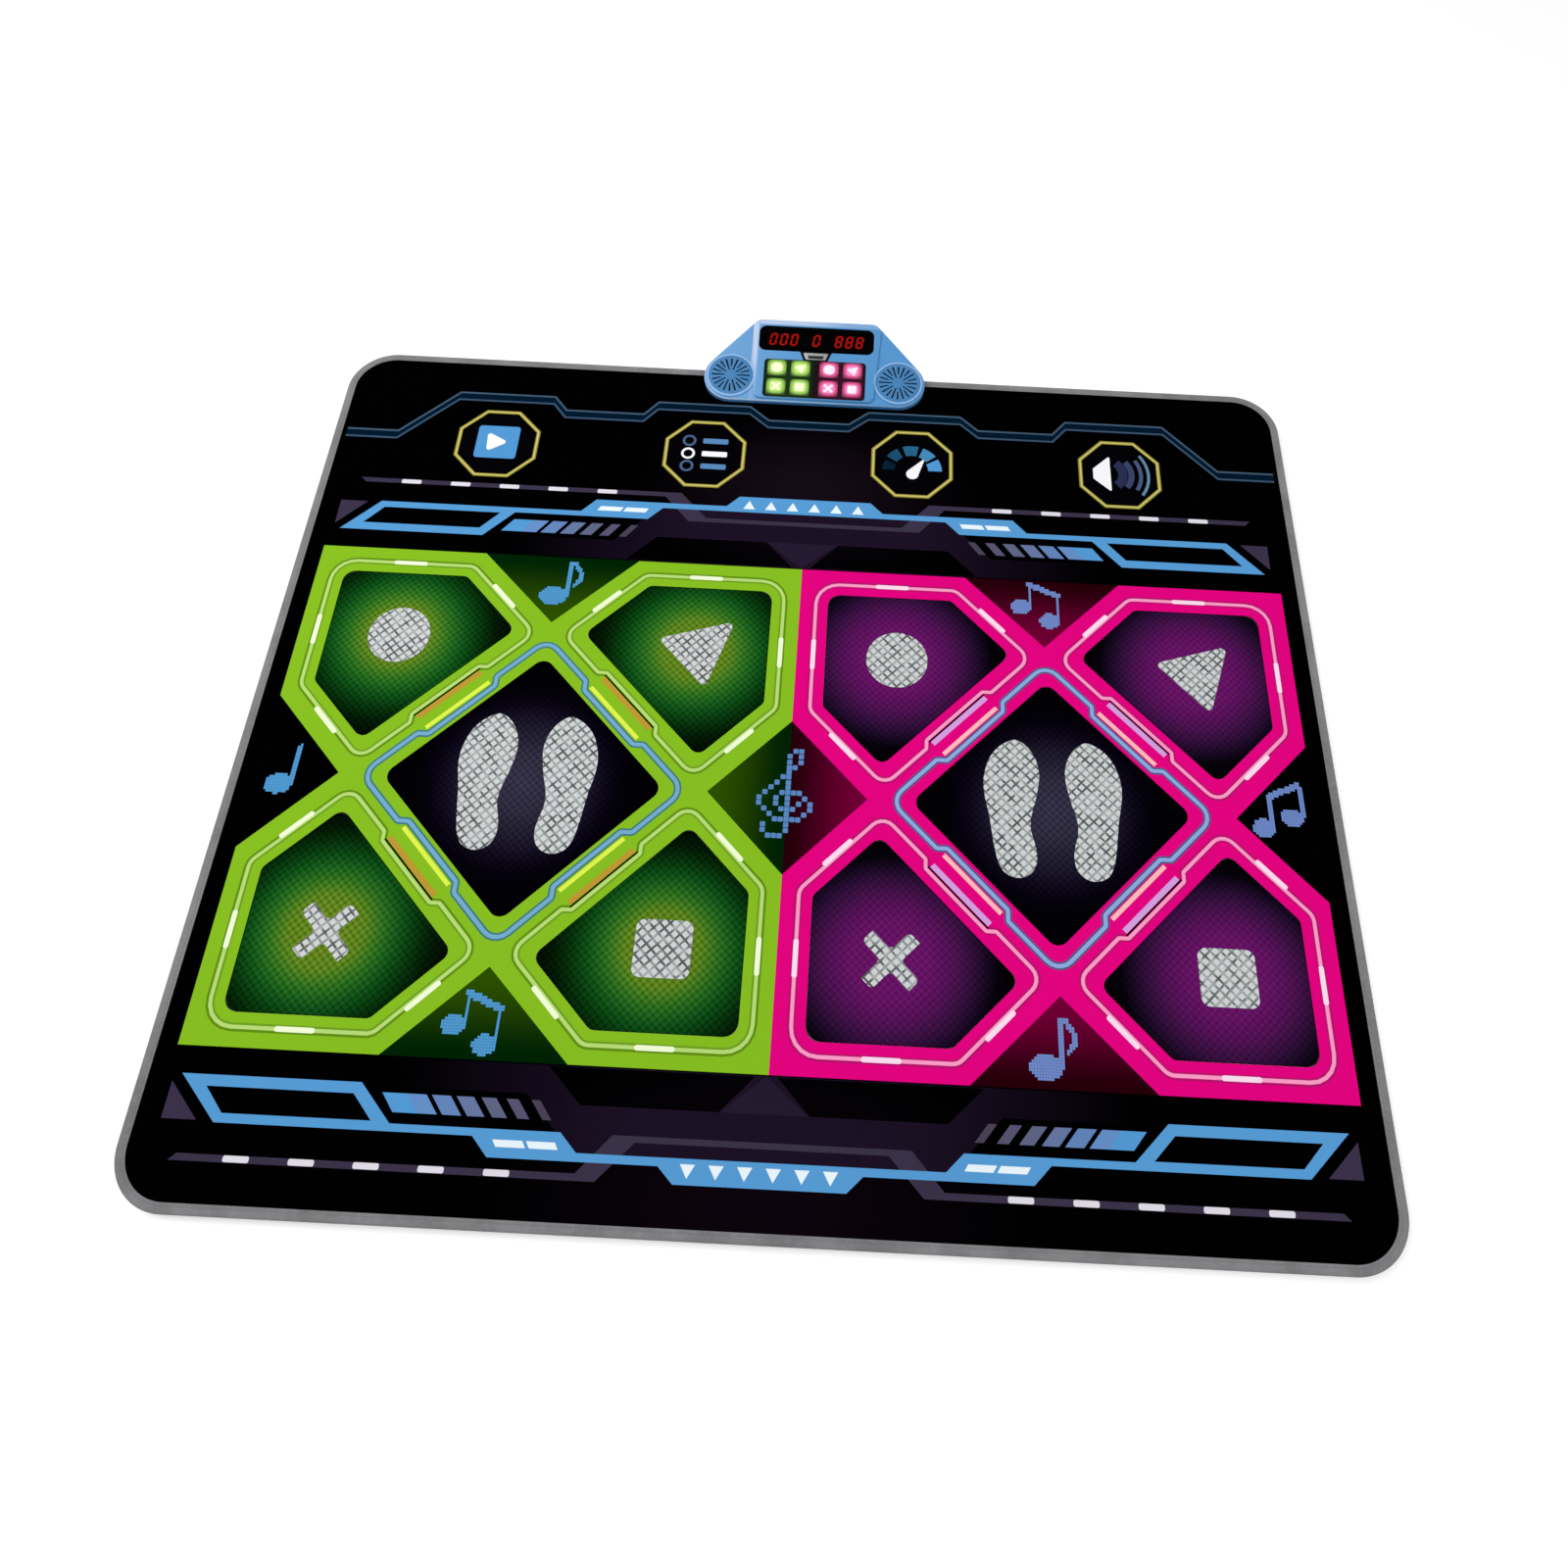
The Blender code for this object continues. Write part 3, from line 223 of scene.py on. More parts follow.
def mixColours(tree, factor, first, second):
    node = addNode(tree, "ShaderNodeMix", data_type="RGBA")
    for socket, value in zip((node.inputs[0], node.inputs[6], node.inputs[7]),
                             (factor, first, second)):
        if isinstance(value, (int, float, tuple)):
            socket.default_value = value
        else:
            tree.links.new(value, socket)
    return node.outputs[2]


def mapRange(tree, value, low, high, toLow=0.0, toHigh=1.0, smooth=True):
    node = addNode(tree, "ShaderNodeMapRange",
                   interpolation_type="SMOOTHSTEP" if smooth else "LINEAR")
    tree.links.new(value, node.inputs[0])
    for socket, number in zip(node.inputs[1:5], (low, high, toLow, toHigh)):
        socket.default_value = number
    return node.outputs[0]


def objectPlace(tree):
    place = addNode(tree, "ShaderNodeTexCoord").outputs["Object"]
    split = addNode(tree, "ShaderNodeSeparateXYZ")
    tree.links.new(place, split.inputs[0])
    return place, split.outputs[0], split.outputs[1], split.outputs[2]


def scaleColour(tree, colour, shade):
    node = addNode(tree, "ShaderNodeVectorMath", operation="SCALE")
    tree.links.new(colour, node.inputs[0])
    tree.links.new(shade, node.inputs[3])
    return node.outputs[0]


def noiseAt(tree, place, scale, detail=2.0, roughness=0.5):
    node = addNode(tree, "ShaderNodeTexNoise")
    tree.links.new(place, node.inputs["Vector"])
    node.inputs["Scale"].default_value = scale
    node.inputs["Detail"].default_value = detail
    node.inputs["Roughness"].default_value = roughness
    return node.outputs[0]


def buildClothGroup():
    # fine plain weave under a printed film: shade, height and gloss change thread by thread
    group, enter, leave = makeGroup(
        "printedCloth",
        [("NodeSocketColor", "Colour", (0.5, 0.5, 0.5, 1)), ("NodeSocketFloat", "Thread", 0.0011),
         ("NodeSocketFloat", "Contrast", 0.12), ("NodeSocketFloat", "Roughness", 0.6)],
        [("NodeSocketColor", "Colour"), ("NodeSocketFloat", "Height"),
         ("NodeSocketFloat", "Roughness")])
    place, x, y, _ = objectPlace(group)
    turn = mathNode(group, "DIVIDE", 2 * math.pi, enter.outputs["Thread"])
    waveX = mathNode(group, "SINE", mathNode(group, "MULTIPLY", x, turn))
    waveY = mathNode(group, "SINE", mathNode(group, "MULTIPLY", y, turn))
    weave = mathNode(group, "MULTIPLY", waveX, waveY)
    cloud = noiseAt(group, place, 9.0, 3.0)
    speck = noiseAt(group, place, 900.0, 1.0)
    height = mathNode(group, "ADD", mathNode(group, "MULTIPLY", weave, 0.35), speck)
    group.links.new(height, leave.inputs["Height"])
    change = mathNode(group, "ADD", mathNode(group, "MULTIPLY", weave, 0.5),
                      mathNode(group, "SUBTRACT", cloud, 0.5))
    change = mathNode(group, "MULTIPLY", change, enter.outputs["Contrast"])
    shade = mathNode(group, "ADD", change, 1.0)
    group.links.new(scaleColour(group, enter.outputs["Colour"], shade), leave.inputs["Colour"])
    rough = mathNode(group, "ADD", mathNode(group, "MULTIPLY", cloud, 0.16),
                     mathNode(group, "SUBTRACT", enter.outputs["Roughness"], 0.08))
    group.links.new(rough, leave.inputs["Roughness"])
    return group


def buildMeshGroup():
    # two sets of parallel lines at right angles, turned 45 degrees; 1 on the lines, 0 between
    group, enter, leave = makeGroup(
        "diagonalMesh",
        [("NodeSocketFloat", "Pitch", 0.0056), ("NodeSocketFloat", "Line", 0.30)],
        [("NodeSocketFloat", "Lines"), ("NodeSocketFloat", "Dots")])
    _, x, y, _ = objectPlace(group)
    turn = mathNode(group, "DIVIDE", math.sqrt(0.5), enter.outputs["Pitch"])
    masks = []
    for operation in ("ADD", "SUBTRACT"):
        along = mathNode(group, "MULTIPLY", mathNode(group, operation, x, y), turn)
        ramp = mathNode(group, "PINGPONG", along, 0.5)
        edge = mathNode(group, "MULTIPLY", enter.outputs["Line"], 0.5)
        mask = mathNode(group, "DIVIDE", mathNode(group, "SUBTRACT", edge, ramp), 0.06)
        masks.append(mathNode(group, "MINIMUM", mathNode(group, "MAXIMUM", mathNode(
            group, "ADD", mask, 0.5), 0.0), 1.0))
    group.links.new(mathNode(group, "MAXIMUM", masks[0], masks[1]), leave.inputs["Lines"])
    waves = [mathNode(group, "SINE", mathNode(group, "MULTIPLY", across,
                                              mathNode(group, "MULTIPLY", turn, 2 * math.pi)))
             for across in (x, y)]
    dots = mathNode(group, "MULTIPLY", waves[0], waves[1])
    group.links.new(mathNode(group, "MULTIPLY_ADD", dots, 0.5, 0.5), leave.inputs["Dots"])
    return group


def buildMouldedGroup():
    # moulded plastic: a faint grain, slow colour change, and small rubbed patches
    group, enter, leave = makeGroup(
        "mouldedPlastic",
        [("NodeSocketColor", "Colour", (0.5, 0.5, 0.5, 1)), ("NodeSocketFloat", "Grain", 1600.0),
         ("NodeSocketFloat", "Change", 0.08), ("NodeSocketFloat", "Roughness", 0.3)],
        [("NodeSocketColor", "Colour"), ("NodeSocketFloat", "Height"),
         ("NodeSocketFloat", "Roughness")])
    place, _, _, _ = objectPlace(group)
    grain = addNode(group, "ShaderNodeTexNoise")
    group.links.new(place, grain.inputs["Vector"])
    group.links.new(enter.outputs["Grain"], grain.inputs["Scale"])
    slow = noiseAt(group, place, 22.0, 3.0)
    rubbed = noiseAt(group, place, 60.0, 4.0, 0.65)
    shade = mathNode(group, "MULTIPLY_ADD", mathNode(group, "SUBTRACT", slow, 0.5),
                     enter.outputs["Change"], 1.0)
    group.links.new(scaleColour(group, enter.outputs["Colour"], shade), leave.inputs["Colour"])
    group.links.new(grain.outputs[0], leave.inputs["Height"])
    rub = mapRange(group, rubbed, 0.52, 0.72, 0.0, 0.14)
    group.links.new(mathNode(group, "ADD", enter.outputs["Roughness"], rub),
                    leave.inputs["Roughness"])
    return group


clothGroup = buildClothGroup()
meshGroup = buildMeshGroup()
mouldedGroup = buildMouldedGroup()


def startMaterial(name):
    made = bpy.data.materials.new(name)
    made.use_nodes = True
    tree = made.node_tree
    return made, tree, tree.nodes["Principled BSDF"]


def addBump(tree, shader, height, strength, distance):
    bump = addNode(tree, "ShaderNodeBump")
    bump.inputs["Strength"].default_value = strength
    bump.inputs["Distance"].default_value = distance
    tree.links.new(height, bump.inputs["Height"])
    tree.links.new(bump.outputs[0], shader.inputs["Normal"])


def useGroup(tree, group, **values):
    node = addNode(tree, "ShaderNodeGroup", node_tree=group)
    for name, value in values.items():
        socket = node.inputs[name[0].upper() + name[1:]]
        if isinstance(value, (int, float, tuple)):
            socket.default_value = value
        else:
            tree.links.new(value, socket)
    return node


def useFinish(tree, shader, group, **values):
    # the group's colour and roughness go to the shader, and its height is left for a bump
    node = useGroup(tree, group, **values)
    tree.links.new(node.outputs["Colour"], shader.inputs["Base Color"])
    tree.links.new(node.outputs["Roughness"], shader.inputs["Roughness"])
    return node.outputs["Height"]


def clothMaterial(name, colour, contrast=0.12, roughness=0.62, shine=0.0):
    # colour is a fixed one, or a function that builds it in the material's tree
    made, tree, shader = startMaterial(name)
    source = colour(tree) if callable(colour) else colour
    height = useFinish(tree, shader, clothGroup, colour=source, contrast=contrast,
                       roughness=roughness)
    shader.inputs["Specular IOR Level"].default_value = shine
    addBump(tree, shader, height, 0.35, 0.00012)
    return made


def plasticMaterial(name, colour, roughness=0.3, change=0.08, grain=1600.0, bump=0.12,
                    coat=0.0, shine=0.5):
    made, tree, shader = startMaterial(name)
    source = colour(tree) if callable(colour) else colour
    height = useFinish(tree, shader, mouldedGroup, colour=source, grain=grain, change=change,
                       roughness=roughness)
    shader.inputs["Coat Weight"].default_value = coat
    shader.inputs["Specular IOR Level"].default_value = shine
    addBump(tree, shader, height, bump, 0.00015)
    return made


def setMaterial(piece, made):
    piece.data.materials.clear()
    piece.data.materials.append(made)


# the prints on the cloth are drawn outlines, filled and given the ink's thickness
printSizes = {"thickness": 0.06 * mm, "lift": 0.01 * mm}


def drawOutlines(name, outlines, shiftY=0.0):
    # a flat filled drawing, where an outline inside another is a hole; in millimetres
    drawing = bpy.data.curves.new(name, "CURVE")
    drawing.dimensions = "2D"
    drawing.fill_mode = "BOTH"
    for outline in outlines:
        line = drawing.splines.new("POLY")
        line.points.add(len(outline) - 1)
        for point, (x, y) in zip(line.points, outline):
            point.co = (x * mm, (y + shiftY) * mm, 0, 1)
        line.use_cyclic_u = True
    return drawing


def meshFromDrawing(name, drawing, height):
    piece = bpy.data.objects.new(name, drawing)
    bpy.context.scene.collection.objects.link(piece)
    piece.location.z = height
    useOnly(piece)
    bpy.ops.object.convert(target="MESH")
    piece = bpy.context.object
    applyPlace(piece)
    bpy.ops.object.mode_set(mode="EDIT")
    bpy.ops.mesh.select_all(action="SELECT")
    bpy.ops.mesh.remove_doubles(threshold=weldDistance)
    bpy.ops.mesh.normals_make_consistent(inside=False)
    bpy.ops.object.mode_set(mode="OBJECT")
    return piece


def flatPrint(name, outlines, layer, made, body="root", thick=1.0,
              rise=0.0):
    drawing = drawOutlines(name, outlines, fieldY)
    drawing.extrude = printSizes["thickness"] * thick / 2
    height = (coverTop + rise + printSizes["lift"] + printSizes["thickness"] * layer
              + drawing.extrude)
    piece = meshFromDrawing(name, drawing, height)
    setMaterial(piece, made)
    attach(piece, body)
    return piece


# the two players' fields, in millimetres from a field's middle
fieldArt = {
    "half": 264.25, "notchHalf": 84.5, "notchDepth": 82.0, "sideHalf": 81.0, "sideDepth": 80.0,
    "padNotch": 133.4, "padDiagonal": 208.2, "padRadius": 9.5, "padOuterRadius": 13.0,
    "padGap": 0.3, "diamond": 140.5, "diamondRadius": 12.0,
    "lime": rgb(135, 190, 34), "magenta": rgb(228, 4, 128),
    "greenDark": rgb(0, 34, 4), "greenOlive": rgb(44, 80, 0),
    "redDark": rgb(38, 0, 10), "redWarm": rgb(112, 0, 52),
}


def padCorners(outer=0.0, diagonal=0.0):
    # the step pad in the upper right quarter, its sides moved out; counter-clockwise
    far = padReach + outer
    notch = fieldArt["padNotch"] + outer * math.sqrt(2)
    total = fieldArt["padDiagonal"] - diagonal * math.sqrt(2)
    near = (total - notch) / 2
    return [(far, far - notch), (far, far), (far - notch, far), (near, total - near),
            (total - near, near)]


def padWindow(signX, signY, x):
    gap = fieldArt["padGap"]
    r, outer = fieldArt["padRadius"] + gap, fieldArt["padOuterRadius"] + gap
    return mirrored(rounded(grown(padCorners(), gap), [r, outer, r, r, r]), signX, signY, x)


def diamondCorners(reach):
    return [(reach, 0.0), (0.0, reach), (-reach, 0.0), (0.0, -reach)]


def fieldOutline(x):
    h, n, d = fieldArt["half"], fieldArt["notchHalf"], fieldArt["notchDepth"]
    s, e = fieldArt["sideHalf"], fieldArt["sideDepth"]
    corners = [(-h, -h), (-n, -h), (0, d - h), (n, -h), (h, -h), (h, -s), (h - e, 0), (h, s),
               (h, h), (n, h), (0, h - d), (-n, h), (-h, h), (-h, s), (e - h, 0), (-h, -s)]
    return [(x + px, py) for px, py in corners]


quarters = [(-1, 1), (1, 1), (-1, -1), (1, -1)]
quarterNames = {(-1, 1): "circle", (1, 1): "triangle", (-1, -1): "cross", (1, -1): "square"}


def notchColour(centre, dark, warm):
    # warm at the notch's point, dark at the field's edge
    def build(tree):
        _, x, y, _ = objectPlace(tree)
        acrossX = mathNode(tree, "ABSOLUTE", mathNode(tree, "SUBTRACT", x, centre * mm))
        acrossY = mathNode(tree, "ABSOLUTE", mathNode(tree, "SUBTRACT", y, fieldY * mm))
        reach = mathNode(tree, "MAXIMUM", acrossX, acrossY)
        return mixColours(tree, mapRange(tree, reach, 0.184, 0.262), warm, dark)
    return build


def buildFields():
    for colour, x in fieldPlaces.items():
        made = clothMaterial(colour + " field print",
                             fieldArt["lime"] if colour == "green" else fieldArt["magenta"], 0.05)
        outlines = [fieldOutline(x)]
        outlines += [padWindow(sx, sy, x) for sx, sy in quarters]
        diamond = rounded(diamondCorners(fieldArt["diamond"]), fieldArt["diamondRadius"], 8)
        outlines.append([(x + px, py) for px, py in diamond])
        flatPrint("field_" + colour, outlines, 0, made)
        dark, warm = ((fieldArt["greenDark"], fieldArt["greenOlive"]) if colour == "green"
                      else (fieldArt["redDark"], fieldArt["redWarm"]))
        h, n, d = fieldArt["half"], fieldArt["notchHalf"] - 0.4, fieldArt["notchDepth"] - 0.4
        s, e = fieldArt["sideHalf"] - 0.4, fieldArt["sideDepth"] - 0.4
        inner = 1 if colour == "green" else -1
        notches = [[(x - n, h), (x, h - d), (x + n, h)], [(x - n, -h), (x + n, -h), (x, d - h)],
                   mirrored([(h - 0.05, -s), (h - 0.05, s), (h - e, 0)], inner, 1, x)]
        flatPrint("notches_" + colour, notches, 0,
                  clothMaterial(colour + " notch print", notchColour(x, dark, warm)))
    print("fields printed")


# lines round the pads and the diamond
lineArt = {
    "offset": 13.2, "diagonalOffset": 17.3, "jog": 9.5, "jogPlace": 125.5, "jogFrom": 58.0,
    "outerRadius": 25.0, "radius": 14.0, "jogRadius": 3.0,
    # width and offset of each line that runs round a pad, then reach, foot and width of each bar
    "rings": {"pale": (3.5, 0.0), "shadeOuter": (2.2, 2.95), "shadeInner": (1.8, -2.75)},
    "bars": {"barOuter": (119.0, 64.0, 5.6), "barShade": (123.0, 65.5, 1.7),
             "barInner": (108.0, 53.0, 4.4)},
    "dashWidth": 4.9, "dashRadius": 2.2, "dashLength": 36.5,
    "diamondTip": 161.5, "diamondInner": 150.6, "diamondStep": 46.5,
    "diamondRadii": [16.0, 4.0, 4.0, 4.0, 4.0], "diamondLines": ((7.6, "blueDark", 1),
                                                                 (4.0, "blue", 2)),
    "pale": {"green": rgb(184, 220, 120), "pink": rgb(252, 158, 200)},
    "shadeOuter": {"green": rgb(98, 142, 22), "pink": rgb(182, 20, 110)},
    "shadeInner": {"green": rgb(112, 158, 36), "pink": rgb(190, 20, 114)},
    "dash": {"green": rgb(242, 255, 216), "pink": rgb(255, 222, 242)},
    "barOuter": {"green": rgb(190, 152, 52), "pink": rgb(212, 160, 226)},
    "barInner": {"green": rgb(224, 244, 78), "pink": rgb(255, 188, 190)},
    "barShade": {"green": rgb(120, 140, 40), "pink": rgb(140, 78, 136)},
    "blue": {"green": rgb(118, 172, 206), "pink": rgb(142, 170, 224)},
    "blueDark": {"green": rgb(66, 124, 120), "pink": rgb(86, 84, 128)},
}


def paleLineCorners():
    base = padCorners(lineArt["offset"], lineArt["diagonalOffset"])
    place, start = lineArt["jogPlace"], lineArt["jogFrom"]
    jogs = [(start, place), (start + lineArt["jog"], place), (place, start + lineArt["jog"]),
            (place, start)]
    return base[:4] + jogs + base[4:]


def paleLineRadii():
    r = lineArt["radius"]
    jogs = [lineArt["jogRadius"]] * 4
    return [r, lineArt["outerRadius"], r, r, *jogs, r]


def blueLineCorners():
    # the line round the diamond, with a step near each corner
    tip, inner, place = lineArt["diamondTip"], lineArt["diamondInner"], lineArt["diamondStep"]
    quarter = [(tip, 0.0), (tip - place, place), (inner - place, place),
               (place, inner - place), (place, tip - place)]
    outline = []
    for k in range(4):
        c, s = round(math.cos(math.pi / 2 * k)), round(math.sin(math.pi / 2 * k))
        for px, py in quarter:
            outline.append((c * px - s * py, s * px + c * py))
    return outline


def buildLines():
    for colour, x in fieldPlaces.items():
        parts = {name: [] for name in ("pale", "shadeOuter", "shadeInner", "dash", "barOuter",
                                       "barInner", "barShade")}
        for sx, sy in quarters:
            corners, radii = paleLineCorners(), paleLineRadii()
            for name, (width, offset) in lineArt["rings"].items():
                for outline in lineRing(corners, width, radii, offset):
                    parts[name].append(mirrored(outline, sx, sy, x))
            far = padReach + lineArt["offset"]
            start = 146.0 if sx < 0 else 142.0
            marks = [((far, 142.0), (far, 178.0)), ((start, far), (start + lineArt["dashLength"], far)),
                     ((69.5, 225.0), (42.5, 198.0)), ((225.0, 69.5), (198.0, 42.5))]
            for begin, end in marks:
                strip = rounded(lineStrip([begin, end], lineArt["dashWidth"]),
                                lineArt["dashRadius"], 4)
                parts["dash"].append(mirrored(strip, sx, sy, x))
            for name, (reach, foot, width) in lineArt["bars"].items():
                bar = lineStrip([(reach, foot), (foot, reach)], width)
                parts[name].append(mirrored(bar, sx, sy, x))
        for name, outlines in parts.items():
            layer = 2 if name == "dash" else 1
            flatPrint(f"{name}_{colour}", outlines, layer,
                      clothMaterial(f"{colour} {name} print", lineArt[name][colour], 0.06))
        for width, name, layer in lineArt["diamondLines"]:
            outlines = [[(x + px, py) for px, py in outline]
                        for outline in lineRing(blueLineCorners(), width,
                                                lineArt["diamondRadii"] * 4)]
            flatPrint(f"diamond_{name}_{colour}", outlines, layer,
                      clothMaterial(f"{colour} diamond {name} print", lineArt[name][colour], 0.06))
    print("lines printed")


# the glow behind each silver symbol: how far from its middle, in metres, and the colour there
padArt = {
    "middle": 157.7, "dotPitch": 0.0054, "dotContrast": {"green": 0.42, "pink": 0.27},
    "green": [(0.0, rgb(104, 132, 30)), (0.036, rgb(90, 128, 30)), (0.044, rgb(66, 120, 32)),
              (0.052, rgb(46, 108, 30)), (0.060, rgb(30, 96, 29)), (0.070, rgb(16, 78, 23)),
              (0.080, rgb(9, 60, 16)), (0.090, rgb(6, 42, 9)), (0.100, rgb(4, 25, 5)),
              (0.122, rgb(1, 3, 1))],
    "pink": [(0.0, rgb(104, 21, 102)), (0.036, rgb(100, 20, 98)), (0.052, rgb(86, 18, 88)),
             (0.060, rgb(76, 18, 80)), (0.070, rgb(60, 17, 67)), (0.080, rgb(43, 14, 53)),
             (0.090, rgb(24, 9, 33)), (0.100, rgb(6, 3, 10)), (0.122, rgb(1, 0, 2))],
    "diamond": [(0.0, rgb(52, 48, 70)), (0.030, rgb(47, 43, 62)), (0.045, rgb(37, 34, 51)),
                (0.060, rgb(29, 25, 43)), (0.075, rgb(18, 13, 30)), (0.085, rgb(10, 6, 20)),
                (0.095, rgb(5, 2, 12)), (0.110, rgb(2, 1, 4))],
}


def glowColour(centre, colours, pitch, mirror=True, contrast=0.55):
    def build(tree):
        _, x, y, _ = objectPlace(tree)
        acrossX = mathNode(tree, "SUBTRACT", x, centre * mm)
        acrossY = mathNode(tree, "SUBTRACT", y, fieldY * mm)
        if mirror:
            middle = padArt["middle"] * mm
            acrossX = mathNode(tree, "SUBTRACT", mathNode(tree, "ABSOLUTE", acrossX), middle)
            acrossY = mathNode(tree, "SUBTRACT", mathNode(tree, "ABSOLUTE", acrossY), middle)
        squares = mathNode(tree, "ADD", mathNode(tree, "MULTIPLY", acrossX, acrossX),
                           mathNode(tree, "MULTIPLY", acrossY, acrossY))
        far = colours[-1][0]
        share = mathNode(tree, "DIVIDE", mathNode(tree, "SQRT", squares), far)
        ramp = addNode(tree, "ShaderNodeValToRGB")
        tree.links.new(share, ramp.inputs[0])
        for _ in range(len(colours) - 2):
            ramp.color_ramp.elements.new(0.5)
        for element, (place, colour) in zip(ramp.color_ramp.elements, colours):
            element.position = place / far
            element.color = colour
        dots = useGroup(tree, meshGroup, pitch=pitch)
        shade = mathNode(tree, "MULTIPLY_ADD", dots.outputs["Dots"], 2 * contrast, 1 - contrast)
        return scaleColour(tree, ramp.outputs[0], shade)
    return build


def silverMaterial():
    # silver flock print with a darker crossed net on it
    made, tree, shader = startMaterial("silver net print")
    net = useGroup(tree, meshGroup, pitch=0.0072, line=0.30)
    fine = useGroup(tree, meshGroup, pitch=0.0019, line=0.4)
    place, _, _, _ = objectPlace(tree)
    patches = mapRange(tree, noiseAt(tree, place, 90.0, 2.0), 0.35, 0.65, 0.45, 1.0)
    base = mixColours(tree, mathNode(tree, "MULTIPLY", fine.outputs["Lines"], 0.25),
                      rgb(216, 220, 220), rgb(166, 171, 171))
    lines = mathNode(tree, "MULTIPLY", net.outputs["Lines"], patches)
    colour = mixColours(tree, lines, base, rgb(78, 83, 83))
    useFinish(tree, shader, clothGroup, colour=colour, contrast=0.10, roughness=0.45)
    shader.inputs["Specular IOR Level"].default_value = 0.1
    addBump(tree, shader, net.outputs["Lines"], 0.3, -0.0001)
    return made


def symbolOutlines(symbol):
    # drawn about the symbol's own middle
    if symbol == "circle":
        return [circleOutline(0, 0, 32.5, steps=56)]
    if symbol == "square":
        return [rounded(boxOutline(-27, -27, 27, 27), 8, 6)]
    if symbol == "triangle":
        return [rounded([(-41.5, 11.5), (13.0, -44.5), (38.5, 36.0)], 4.5, 6)]
    arm, half = 24.5, 7.0
    points = [(half, half), (arm + half, half), (arm + half, -half), (half, -half),
              (half, -arm - half), (-half, -arm - half), (-half, -half), (-arm - half, -half),
              (-arm - half, half), (-half, half), (-half, arm + half), (half, arm + half)]
    c = math.sqrt(0.5)
    turned = [(c * (px - py), c * (px + py)) for px, py in points]
    return [rounded(turned[::-1], [0.5, 5, 5] * 4, 5)]


soleOutline = [(-38, 72.5), (-52, 64), (-62, 50), (-67.5, 30), (-67, 12), (-63, -8), (-61, -22),
               (-58.5, -40), (-55, -56), (-49, -67), (-38, -72), (-27, -70), (-19, -62),
               (-16.5, -50), (-18, -38), (-21.5, -24), (-21, -10), (-15.5, 10), (-11.5, 32),
               (-13, 48), (-19.5, 62), (-29, 71)]


def smoothOutline(points, steps=4):
    # a smooth closed curve through the points, each stretch a cubic set by its four nearest
    outline = []
    count = len(points)
    for i in range(count):
        p0, p1, p2, p3 = (Vector(points[(i + k - 1) % count]) for k in range(4))
        for k in range(steps):
            t = k / steps
            outline.append(tuple(0.5 * (2 * p1 + (p2 - p0) * t + (2 * p0 - 5 * p1 + 4 * p2 - p3)
                                        * t * t + (3 * p1 - p0 - 3 * p2 + p3) * t ** 3)))
    return outline


def buildPads():
    silver = silverMaterial()
    for colour, x in fieldPlaces.items():
        for sx, sy in quarters:
            symbol = quarterNames[(sx, sy)]
            outlines = [[(x + sx * padArt["middle"] + px, sy * padArt["middle"] + py)
                         for px, py in outline] for outline in symbolOutlines(symbol)]
            flatPrint(f"symbol_{colour}_{symbol}", outlines, 0, silver,
                      body=f"step_{colour}_{symbol}", thick=3.0,
                      rise=padRise)
        diamond = rounded(diamondCorners(fieldArt["diamond"] - 0.4), fieldArt["diamondRadius"], 8)
        flatPrint("diamond_" + colour, [[(x + px, py) for px, py in diamond]], 0,
                  clothMaterial(colour + " diamond print",
                                glowColour(x, padArt["diamond"], padArt["dotPitch"],
                                           mirror=False, contrast=0.4)))
        sole = smoothOutline(soleOutline)
        soles = [[(x + px, py) for px, py in sole],
                 [(x + 3.5 - px, py) for px, py in sole[::-1]]]
        flatPrint("soles_" + colour, soles, 1, silver, thick=3.0)
    print("pads and symbols printed")


# notes drawn in square dots, from ovals and bars
noteArt = {"cell": 2.5, "gap": 0.16, "reach": 16, "clefHalf": 2.6, "clefRadius": 0.8,
           "blue": rgb(82, 155, 211), "violet": rgb(112, 140, 204), "dim": rgb(88, 134, 190)}

eighthNote = [("oval", -8.2, -15.2, 15, 11.6), ("bar", 5.2, -15, 5.2, 25.5, 4.8),
              ("bar", 5.2, 25.8, 12, 25.8, 4.0), ("bar", 12.5, 24, 19.3, 12.8, 5.0),
              ("bar", 19, 12.8, 19, 6.5, 6.0), ("bar", 19, 6, 12.5, -1.2, 4.8)]
quarterNote = [("oval", -3.5, -14.5, 14, 10.6), ("bar", 9.7, -14, 9.7, 26, 4.6)]
fallingPair = [("oval", -20.3, -3, 11, 9.5), ("bar", -10, -4, -10, 26.5, 4.6),
               ("bar", -10, 25.5, 19.6, 13.5, 6.6), ("bar", 20, 15, 20, -19, 4.6),
               ("oval", 10.5, -18.8, 10.8, 9.3)]
risingPair = [("oval", -15, -14, 10.8, 9.6), ("bar", -5.3, -14, -5.3, 20, 4.6),
              ("bar", -5.3, 19.5, 24, 32.5, 6.6), ("bar", 25.2, 32, 25.2, -2, 4.6),
              ("oval", 14.6, -2, 11, 9.4)]
